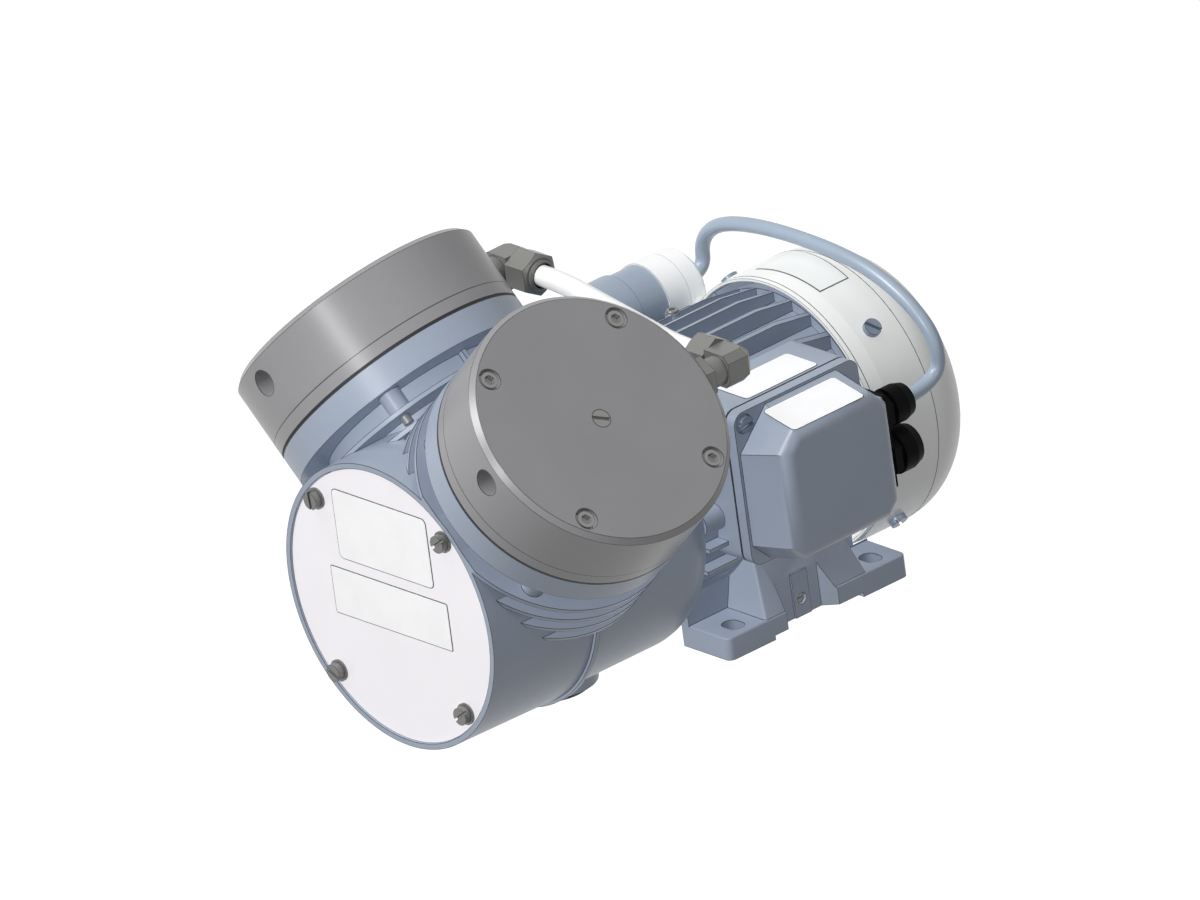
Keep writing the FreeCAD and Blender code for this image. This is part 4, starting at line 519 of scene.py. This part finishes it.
def make_box_seal():
    side = BOX_SIDE - 2 * SEAL_INSET
    outline = rounded_outline(side, side, BOX_CORNER)
    hollow = hood_outline(SEAL_HOLLOW_HALF, SEAL_HOLLOW_HALF, SEAL_HOLLOW_CUTS)
    seal = as_thing("box_seal", prism(BOX_PLACE, outline, BOX_FACE, LID_START))
    fused(seal, ("DIFFERENCE", prism(BOX_PLACE, hollow, BOX_FACE - 1, LID_START + 1)))
    finish_piece(seal, "black_plastic", "lid_gasket")


def make_box_lid():
    square = rounded_outline(BOX_SIDE, BOX_SIDE, BOX_CORNER)
    lid = as_thing("box_lid", prism(BOX_PLACE, square, LID_START, LID_RIM_FACE))
    hood = hood_form(LID_RIM_FACE - 1, LID_FACE, 0)
    front = [edge for edge in hood.edges if all(vert.co.x > LID_FACE - 0.1 for vert in edge.verts)]
    bmesh.ops.bevel(hood, geom=front, offset=HOOD_ROUND, segments=HOOD_ROUND_STEPS, profile=0.5,
                    affect="EDGES")
    inside = hood_form(LID_START - 1, LID_FACE - LID_WALL, LID_WALL)
    entry_outline = rectangle(ENTRY_INNER_EDGE, BOX_SIDE / 2, ENTRY_LOW, ENTRY_HIGH)
    entry = prism(BOX_PLACE, entry_outline, LID_START, ENTRY_END)
    bores = [
        prism(axis_place("Y", (0, 0, 0)), circle(height, GLAND_ACROSS, GLAND_BORE),
              GLAND_BORE_START, GLAND_BORE_END)
        for height in GLAND_HEIGHTS
    ]
    fused(lid, ("UNION", hood), ("UNION", entry), ("DIFFERENCE", inside),
          *(("DIFFERENCE", bore) for bore in bores))
    reach = BOX_SIDE / 2 - LID_SCREW_INSET
    seat_floor = LID_RIM_FACE - LID_SCREW_SEAT_DEPTH
    seats = [
        prism(BOX_PLACE, circle(along, high, LID_SCREW_SEAT_RADIUS), seat_floor, LID_RIM_FACE + 6)
        for along, high in ((-reach, reach), (reach, -reach))
    ]
    fused(lid, *(("DIFFERENCE", seat) for seat in seats))
    finish_piece(lid, "blue_grey_casting", "terminal_box_lid")


def make_box_screws():
    """The two lid screws that stand on a diagonal."""
    screws = node_form("lid_screws")
    middle_y, middle_z = BOX_MIDDLE
    spare = [vert for vert in screws.verts if (vert.co.y - middle_y) * (vert.co.z - middle_z) > 0]
    bmesh.ops.delete(screws, geom=spare, context="VERTS")
    finish_piece(as_thing("box_screws", screws), "blue_screws", "lid_screws")


make_box_base()
make_box_seal()
make_box_lid()
make_box_screws()


# Motor feet: plates with round corners, webs, saddles and the earthing notch

GROUND = axis_place("Z", (0, 0, 0))
SIDE_ON = axis_place("Y", (0, 0, 0))
FOOT_REACH = 75
FOOT_HALF_LENGTH = 65
FOOT_INNER_EDGE = 37.5
FOOT_THICKNESS = 13
FOOT_CORNER = 4
FOOT_CORNER_STEPS = 5
FOOT_RELIEF = 2.5
FOOT_RELIEF_HALF = 32
FOOT_HOLE_ACROSS = 62.5
FOOT_HOLE_ALONG = 50
FOOT_HOLE_LENGTH = 13.8
FOOT_HOLE_WIDTH = 10
WEB_THICKNESS = 6
WEB_TOP = 34
SADDLE_START = 40
SADDLE_TOP = 46
SADDLE_FOOT = (74.5, 37)
SADDLE_HEAD = (60, 29)
SADDLE_ROUND = 1.5
NOTCH_FLOOR = 67.5
NOTCH_FRONT = -22.4
NOTCH_REAR = 8.3
NOTCH_REAR_MOUTH = 16.4
NOTCH_MOUTH = 77
FRAME_RADIUS = 66.1
FRAME_CLEARANCE = 64
COWL_FRONT = 55
COWL_CLEARANCE = 79.2
SHIELD_CLEARANCE = 73.2
BARREL_HALF_LENGTH = 70
OLD_FOOT_EDGE = 37
OLD_FOOT_REACH = 80
OLD_FOOT_TOP = 48
EARTH_PLACE = (-5.3, 12.5)
EARTH_HOLE = 3.2
EARTH_SCREW_RADIUS = 3
EARTH_SCREW_FACE = 67
EARTH_PLATE = (-11, 0.4)
EARTH_PLATE_TOP = 28.5


def mirrored(side, outline):
    return [(side * x, y) for x, y in outline]


def round_space(radius, start):
    """The round space of a radius about the shaft, from a place along it to the rear."""
    outline = [(z + SHAFT_HEIGHT, x) for x, z in circle(0, 0, radius, 96)]
    return prism(SIDE_ON, outline, start, BARREL_HALF_LENGTH)


def old_feet(side):
    """The space of the node's own feet, outside the round frame."""
    start = math.acos((SHAFT_HEIGHT - OLD_FOOT_TOP) / FRAME_RADIUS)
    end = math.asin(OLD_FOOT_EDGE / FRAME_RADIUS)
    arc = []
    for step in range(13):
        angle = start + (end - start) * step / 12
        arc.append((FRAME_RADIUS * math.sin(angle), SHAFT_HEIGHT - FRAME_RADIUS * math.cos(angle)))
    outline = [(OLD_FOOT_EDGE, -2), (OLD_FOOT_REACH, -2), (OLD_FOOT_REACH, OLD_FOOT_TOP)] + arc
    return prism(SIDE_ON, [(z, side * x) for x, z in outline], -BARREL_HALF_LENGTH, BARREL_HALF_LENGTH)


def foot_plate(side):
    """A foot's plate with two round corners and a soft upper edge."""
    round_corners = []
    for step in range(FOOT_CORNER_STEPS + 1):
        angle = math.pi / 2 * step / FOOT_CORNER_STEPS
        round_corners.append((FOOT_REACH - FOOT_CORNER * (1 - math.cos(angle)),
                              FOOT_HALF_LENGTH - FOOT_CORNER * (1 - math.sin(angle))))
    outline = [(FOOT_INNER_EDGE, -FOOT_HALF_LENGTH)] + [(x, -y) for x, y in round_corners[::-1]]
    outline += round_corners + [(FOOT_INNER_EDGE, FOOT_HALF_LENGTH)]
    plate = prism(GROUND, mirrored(side, outline), 0, FOOT_THICKNESS)
    top = [edge for edge in plate.edges if all(vert.co.z > FOOT_THICKNESS - 0.1 for vert in edge.verts)
           and not all(abs(vert.co.x) < FOOT_INNER_EDGE + 0.1 for vert in edge.verts)]
    bmesh.ops.bevel(plate, geom=top, offset=1, segments=3, profile=0.5, affect="EDGES")
    return plate


def foot_saddle(side):
    """The slanted block between a foot and the frame."""
    sections = []
    for height, (reach, half_length) in ((FOOT_THICKNESS - 1, SADDLE_FOOT), (SADDLE_TOP, SADDLE_HEAD)):
        outline = rectangle(SADDLE_START, reach, -half_length, half_length)
        sections.append((height, mirrored(side, outline)))
    saddle = lofted(GROUND, *sections)
    corner = [edge for edge in saddle.edges
              if abs(edge.verts[0].co.z - edge.verts[1].co.z) > 5 and abs(edge.verts[0].co.x) > 50]
    bmesh.ops.bevel(saddle, geom=corner, offset=SADDLE_ROUND, segments=3, profile=0.5, affect="EDGES")
    return saddle


def foot_web(side):
    """The upright wall between a foot's inner edge and the frame."""
    outline = rectangle(FOOT_INNER_EDGE, FOOT_INNER_EDGE + WEB_THICKNESS, -FOOT_HALF_LENGTH,
                        FOOT_HALF_LENGTH)
    return prism(GROUND, mirrored(side, outline), FOOT_THICKNESS - 1, WEB_TOP)


def foot_cuts(side):
    """Notch, recess below, slotted holes and the room of frame, cowl and end shield."""
    notch = [(NOTCH_FLOOR, NOTCH_FRONT), (NOTCH_MOUTH, NOTCH_FRONT),
             (NOTCH_MOUTH, NOTCH_REAR_MOUTH), (NOTCH_FLOOR, NOTCH_REAR)]
    relief = rectangle(30, 80, -FOOT_RELIEF_HALF, FOOT_RELIEF_HALF)
    hole = rounded_outline(FOOT_HOLE_LENGTH, FOOT_HOLE_WIDTH, FOOT_HOLE_WIDTH / 2 - 0.01)
    holes = [
        [(side * FOOT_HOLE_ACROSS + x, end * FOOT_HOLE_ALONG + y) for x, y in hole]
        for end in (1, -1)
    ]
    return [
        prism(GROUND, mirrored(side, notch), -1, 60),
        prism(GROUND, mirrored(side, relief), -1, FOOT_RELIEF),
        *(prism(GROUND, outline, -1, 30) for outline in holes),
        round_space(FRAME_CLEARANCE, -BARREL_HALF_LENGTH),
        round_space(COWL_CLEARANCE, COWL_FRONT - 0.3),
        round_space(SHIELD_CLEARANCE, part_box("rear_end_shield")[0].y / MM - 0.2),
    ]


def make_foot(side, name):
    foot = as_thing(name, foot_plate(side))
    plate_outline = rectangle(NOTCH_FLOOR - 1, NOTCH_FLOOR + 1, *EARTH_PLATE)
    earth_plate = prism(GROUND, mirrored(side, plate_outline), FOOT_RELIEF, EARTH_PLATE_TOP)
    fused(foot, ("UNION", foot_saddle(side)), ("UNION", foot_web(side)),
          *(("DIFFERENCE", cut) for cut in foot_cuts(side)), ("UNION", earth_plate))
    if side > 0:
        hole = prism(axis_place("X", (0, 0, 0)), circle(*EARTH_PLACE, EARTH_HOLE), 59, 70)
        fused(foot, ("DIFFERENCE", hole))
    finish_piece(foot, "blue_grey_casting")


def make_barrel():
    """The motor's frame without its node's own feet."""
    barrel = node_copy("motor_barrel", "motor_frame")
    fused(barrel, *(("DIFFERENCE", old_feet(side)) for side in (1, -1)))
    finish_piece(barrel, "blue_grey_casting", "motor_frame")


def make_earth_screw():
    place = axis_place("X", (0, *EARTH_PLACE))
    screw = as_thing("earth_grub_screw", turned(place, [
        (0, 60), (EARTH_SCREW_RADIUS - 1, 60), (EARTH_SCREW_RADIUS, 61),
        (EARTH_SCREW_RADIUS, EARTH_SCREW_FACE), (0, EARTH_SCREW_FACE)], 32))
    slot = prism(place, rectangle(-4, 4, -0.5, 0.5), EARTH_SCREW_FACE - 1, EARTH_SCREW_FACE + 1)
    fused(screw, ("DIFFERENCE", slot))
    finish_piece(screw, "zinc_screws", "earth_screw")


make_barrel()
make_foot(1, "foot_right")
make_foot(-1, "foot_left")
make_earth_screw()


# Fittings of the transfer tube

TUBE_RADIUS = 6
NUT_LENGTH = 16
NUT_FLAT = 9.5
NUT_CONE = 2.6
NUT_RING_RADIUS = 8.4
SEAL_WIDTH = 0.9
ELBOW_CUT = 4
ELBOW_CORNER = 4.75


def ring_form(place, profile, steps=96):
    """A closed ring about local z through a closed run of (radius, height) points."""
    form = bmesh.new()
    rings = [[form.verts.new((x, y, height)) for x, y in circle(0, 0, radius, steps)]
             for radius, height in profile]
    for low, high in zip(rings, rings[1:] + rings[:1]):
        for index in range(steps):
            after = (index + 1) % steps
            form.faces.new((low[index], low[after], high[after], high[index]))
    form.transform(place)
    bmesh.ops.recalc_face_normals(form, faces=form.faces)
    return form


def tube_axis(side):
    """A place on the tube's axis at its end on one side, with local z along X."""
    verts = frame["nodes"]["transfer_tube"].data.vertices
    reach = max(side * vert.co.x for vert in verts)
    ring = [vert.co.yz for vert in verts if side * vert.co.x > reach - 0.1 * MM]
    middle = [(min(values) + max(values)) / 2 / MM for values in zip(*ring)]
    return axis_place("X", (0, *middle))


def nut_faces():
    """Name, side and inner face of the two nuts on the tube."""
    low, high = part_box("compression_nuts")
    return (("left", -1, low.x / MM + NUT_LENGTH), ("right", 1, high.x / MM - NUT_LENGTH))


def make_elbow(side, name, node):
    """An elbow whose block has its outer edges cut at 45 degrees."""
    low, high = (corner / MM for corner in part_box(node))
    outer = high.x if side > 0 else -low.x
    back = high.y
    levels = (
        (low.z - 0.1, ELBOW_CUT), (low.z + ELBOW_CUT, 0),
        (high.z - ELBOW_CUT, 0), (high.z + 0.1, ELBOW_CUT),
    )
    sections = []
    for height, inset in levels:
        bend = ELBOW_CORNER + inset * (math.sqrt(2) - 1)
        outline = [
            (outer - 80, back - 120), (outer - inset, back - 120), (outer - inset, back - bend),
            (outer - bend, back - inset), (outer - 80, back - inset),
        ]
        sections.append((height, mirrored(side, outline)))
    elbow = node_copy(name, node)
    fused(elbow, ("INTERSECT", lofted(GROUND, *sections)))
    finish_piece(elbow, "grey_fitting", node, sharp=25)


def make_nuts():
    """The tube's nuts, with cut corners towards the tube."""
    nuts = node_copy("tube_nuts", "compression_nuts")
    for name, side, face in nut_faces():
        past = face - side * 0.2
        corner = [(NUT_FLAT - 0.3, past), (NUT_FLAT + 5, past), (NUT_FLAT + 5, face + side * NUT_CONE)]
        fused(nuts, ("DIFFERENCE", ring_form(tube_axis(side), corner)))
    finish_piece(nuts, "grey_fitting", "compression_nuts", sharp=15)


def make_nut_rings():
    """A stepped ring and a black seal where the tube enters each nut."""
    bore = TUBE_RADIUS + SEAL_WIDTH
    for name, side, face in nut_faces():
        inward = -side
        ring = [
            (bore, face - inward), (NUT_RING_RADIUS, face - inward),
            (NUT_RING_RADIUS, face + inward * 1.6), (NUT_RING_RADIUS - 0.6, face + inward * 2.2),
            (bore, face + inward * 2.2),
        ]
        seal = [
            (TUBE_RADIUS + 0.1, face - inward), (bore, face - inward),
            (bore, face + inward * 1.9), (TUBE_RADIUS + 0.1, face + inward * 1.9),
        ]
        finish_piece(as_thing(name + "_nut_ring", ring_form(tube_axis(side), ring)),
                     "grey_fitting")
        finish_piece(as_thing(name + "_nut_seal", ring_form(tube_axis(side), seal)),
                     "black_plastic")


make_elbow(-1, "left_elbow_forged", "left_elbow")
make_elbow(1, "right_elbow_forged", "right_elbow")
make_nuts()
make_nut_rings()


# Socket screw on top of the motor's frame, and the cowl's seam lines

STATOR_SCREW = (-30, 12.5)
STATOR_BOSS_FOOT = 140
STATOR_BOSS_RADIUS = 4.4
STATOR_SEAT = 150
STATOR_HEAD_RADIUS = 3.6
STATOR_HEAD_HEIGHT = 1.6
STATOR_SOCKET_RADIUS = 1.9
COWL_RADIUS = 78.9
SEAM_HALF_WIDTH = 0.2
SEAM_DEPTH = 0.4
SEAM_PROUD = 0.06
SEAMS = {"front": (78.25, 58), "middle": (COWL_RADIUS, 95), "rear": (60.9, 126.2)}


def make_stator_screw():
    upright = axis_place("Z", (*STATOR_SCREW, 0))
    boss = as_thing("stator_boss", turned(upright, [
        (0, STATOR_BOSS_FOOT), (STATOR_BOSS_RADIUS, STATOR_BOSS_FOOT),
        (STATOR_BOSS_RADIUS, STATOR_SEAT - 0.4), (STATOR_BOSS_RADIUS - 0.4, STATOR_SEAT),
        (0, STATOR_SEAT)], 40))
    finish_piece(boss, "blue_grey_casting")
    top = STATOR_SEAT + STATOR_HEAD_HEIGHT
    screw = as_thing("stator_screw", turned(upright, [
        (0, STATOR_SEAT - 0.5), (STATOR_HEAD_RADIUS, STATOR_SEAT - 0.5),
        (STATOR_HEAD_RADIUS, top - 0.4), (STATOR_HEAD_RADIUS - 0.4, top), (0, top)], 40))
    socket = prism(upright, circle(0, 0, STATOR_SOCKET_RADIUS, 6), STATOR_SEAT - 0.2, STATOR_SEAT + 5)
    fused(screw, ("DIFFERENCE", socket))
    finish_piece(screw, "zinc_screws")


def make_cowl_seams():
    along_shaft = axis_place("Y", (0, 0, SHAFT_HEIGHT))
    for name, (radius, place) in SEAMS.items():
        inside, outside = radius - SEAM_DEPTH, radius + SEAM_PROUD
        start, end = place - SEAM_HALF_WIDTH, place + SEAM_HALF_WIDTH
        line = [(inside, start), (outside, start), (outside, end), (inside, end)]
        finish_piece(as_thing("cowl_line_" + name, ring_form(along_shaft, line)), "label_line")


make_stator_screw()
make_cowl_seams()


# Bare labels, laid on their surfaces, each on a thin dark border

LABEL_THICKNESS = 0.35
BORDER_THICKNESS = 0.2
WIDE_BORDER = 0.5
NARROW_BORDER = 0.35
COVER_LABEL_SIZE = (75, 40.5)
COVER_LABEL_RISE = 39.8
COVER_BADGE_SIZE = (93, 27.3)
COVER_BADGE_RISE = -1.4
BOX_TOP = 145
BASE_LABEL_MIDDLE = (68.25, -8.45, BOX_TOP)
BASE_LABEL_SIZE = (25.5, 51.9)
LID_LABEL_MIDDLE = (108.2, -11.4)
LID_LABEL_SIZE = (51.5, 25)
HOOD_SLOPE = math.atan2(HOOD_FOOT_HALF - HOOD_FACE_HALVES[1], LID_FACE - LID_RIM_FACE)
COWL_LABEL_ANGLES = ((-15.5, 20), (-16, 20))
COWL_LABEL_PLACES = ((67, 69), (94, 89))
COWL_LABEL_STEPS = 12


def flat_label(name, size, radii, place, border):
    """A bare white plate over a slightly larger dark one, with the corner radii of both."""
    width, height = size
    radius, border_radius = radii
    wide = rounded_outline(width + 2 * border, height + 2 * border, border_radius)
    rim = as_thing(name + "_border", prism(place, wide, 0, BORDER_THICKNESS))
    finish_piece(rim, "label_line")
    outline = rounded_outline(width, height, radius)
    plate = as_thing(name, prism(place, outline, 0, LABEL_THICKNESS))
    finish_piece(plate, "label")


def bent_form(lift, thickness):
    """A thin plate bent round the cowl's top, wider by a lift on each side."""
    turn = math.degrees(lift / COWL_RADIUS)
    form = bmesh.new()
    rows = []
    for step in range(COWL_LABEL_STEPS + 1):
        share = step / COWL_LABEL_STEPS
        row = []
        for (start, end), (front, rear), sign in zip(COWL_LABEL_ANGLES, COWL_LABEL_PLACES, (-1, 1)):
            angle = math.radians(start - turn + (end - start + 2 * turn) * share)
            along = front + (rear - front) * share + sign * lift
            for radius in (COWL_RADIUS - 0.1, COWL_RADIUS + thickness):
                row.append(form.verts.new((
                    radius * math.sin(angle), along, SHAFT_HEIGHT + radius * math.cos(angle))))
        rows.append(row)
    for low, high in zip(rows, rows[1:]):
        for first, second in ((0, 1), (1, 3), (3, 2), (2, 0)):
            form.faces.new((low[first], low[second], high[second], high[first]))
    for row in (rows[0], rows[-1]):
        form.faces.new((row[0], row[1], row[3], row[2]))
    bmesh.ops.recalc_face_normals(form, faces=form.faces)
    return form


def make_labels():
    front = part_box("front_cover")[0].y / MM
    for name, size, rise, radii in (
            ("cover_label", COVER_LABEL_SIZE, COVER_LABEL_RISE, (3, 3.5)),
            ("cover_badge", COVER_BADGE_SIZE, COVER_BADGE_RISE, (0.8, 1.3))):
        place = facing_place((0, front, SHAFT_HEIGHT + rise), (1, 0, 0), (0, -1, 0))
        flat_label(name, size, radii, place, WIDE_BORDER)
    place = axis_place("Z", BASE_LABEL_MIDDLE)
    flat_label("base_label", BASE_LABEL_SIZE, (2.5, 2.8), place, NARROW_BORDER)
    across, along = LID_LABEL_MIDDLE
    height = BOX_MIDDLE[1] + HOOD_FOOT_HALF - (across - LID_RIM_FACE) * math.tan(HOOD_SLOPE)
    normal = (math.sin(HOOD_SLOPE), 0, math.cos(HOOD_SLOPE))
    place = facing_place((across, along, height), (0, 1, 0), normal)
    flat_label("lid_label", LID_LABEL_SIZE, (2.5, 2.85), place, NARROW_BORDER)
    for name, lift, thickness, material in (
            ("cowl_label_border", WIDE_BORDER, 0.15, "label_line"), ("cowl_label", 0, 0.3, "white_cowl")):
        finish_piece(as_thing(name, bent_form(lift, thickness)), material)


make_labels()


# Floor, backdrop and lights

FLOOR_REACH = 4.0
FLOOR_DROP = 0.2
FLOOR_COLOUR = (0.2, 0.2, 0.2, 1)
FLOOR_GLOW = 0.9
ROOM_COLOUR = (0.97, 0.985, 1.0, 1)
ROOM_STRENGTH = 0.2
LAMP_TARGET = Vector((0, -0.05, 0.1))
LAMPS = {
    "key_lamp": {"direction": (-0.18, -0.6, 0.8), "distance": 4.0, "size": 1.4, "energy": 122},
    "gloss_lamp": {"direction": (0.26, -0.82, 0.5), "distance": 4.0, "size": 0.5, "energy": 42},
    "top_lamp": {"direction": (0.1, -0.1, 1.0), "distance": 4.0, "size": 1.4, "energy": 8},
    "fill_lamp": {"direction": (1.0, -0.1, 0.25), "distance": 4.0, "size": 1.4, "energy": 12},
    "shadow_lamp": {"direction": (-0.25, -0.4, 1.0), "distance": 3.0, "size": 1.6, "energy": 9},
}
SHADOW_LAMPS = ("shadow_lamp",)


def greatest(nodes, links, *values):
    """The greatest of some outputs."""
    result = values[0]
    for value in values[1:]:
        larger = nodes.new("ShaderNodeMath")
        larger.operation = "MAXIMUM"
        links.new(result, larger.inputs[0])
        links.new(value, larger.inputs[1])
        result = larger.outputs[0]
    return result


def make_floor():
    low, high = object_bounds()
    mesh = bpy.data.meshes.new("floor")
    corners = [(x * FLOOR_REACH, y * FLOOR_REACH, 0) for x, y in ((-1, -1), (1, -1), (1, 1), (-1, 1))]
    mesh.from_pydata(corners, [], [(0, 1, 2, 3)])
    floor = bpy.data.objects.new("floor", mesh)
    scene.collection.objects.link(floor)
    floor.location = (0, 0, low[2] - FLOOR_DROP * MM)
    material, nodes, links = new_material("floor")
    shader = nodes["Principled BSDF"]
    shader.inputs["Base Color"].default_value = FLOOR_COLOUR
    shader.inputs["Roughness"].default_value = 0.9
    shader.inputs["Specular IOR Level"].default_value = 0.0
    shader.inputs["Emission Color"].default_value = (1, 1, 1, 1)
    rays = nodes.new("ShaderNodeLightPath")
    strength = nodes.new("ShaderNodeMath")
    strength.operation = "MULTIPLY"
    strength.inputs[1].default_value = FLOOR_GLOW
    seen = greatest(nodes, links, rays.outputs["Is Camera Ray"], rays.outputs["Is Glossy Ray"])
    links.new(seen, strength.inputs[0])
    links.new(strength.outputs[0], shader.inputs["Emission Strength"])
    mesh.materials.append(material)


def make_world():
    """An even, faint room light, and white where the camera, gloss or glass looks past the object."""
    world = bpy.data.worlds.new("studio")
    scene.world = world
    world.use_nodes = True
    nodes, links = world.node_tree.nodes, world.node_tree.links
    nodes.clear()
    backgrounds = []
    for colour, strength in ((ROOM_COLOUR, ROOM_STRENGTH), ((1, 1, 1, 1), 1.0)):
        background = nodes.new("ShaderNodeBackground")
        background.inputs["Color"].default_value = colour
        background.inputs["Strength"].default_value = strength
        backgrounds.append(background)
    rays = nodes.new("ShaderNodeLightPath")
    mix = nodes.new("ShaderNodeMixShader")
    output = nodes.new("ShaderNodeOutputWorld")
    seen = greatest(nodes, links, rays.outputs["Is Camera Ray"], rays.outputs["Is Transmission Ray"],
                    rays.outputs["Is Glossy Ray"])
    links.new(seen, mix.inputs[0])
    for background, socket in zip(backgrounds, (1, 2)):
        links.new(background.outputs[0], mix.inputs[socket])
    links.new(mix.outputs[0], output.inputs[0])


def softbox(name, direction, distance, size, energy):
    """A square area lamp that looks at the object's middle."""
    data = bpy.data.lights.new(name, "AREA")
    data.size = size
    data.energy = energy
    data.use_shadow = name in SHADOW_LAMPS
    lamp = bpy.data.objects.new(name, data)
    scene.collection.objects.link(lamp)
    way = Vector(direction).normalized()
    lamp.location = LAMP_TARGET + way * distance
    lamp.rotation_euler = way.to_track_quat("Z", "Y").to_euler()


scene.view_settings.view_transform = "Standard"
make_floor()
make_world()
for name, values in LAMPS.items():
    softbox(name, **values)

bpy.context.view_layer.update()
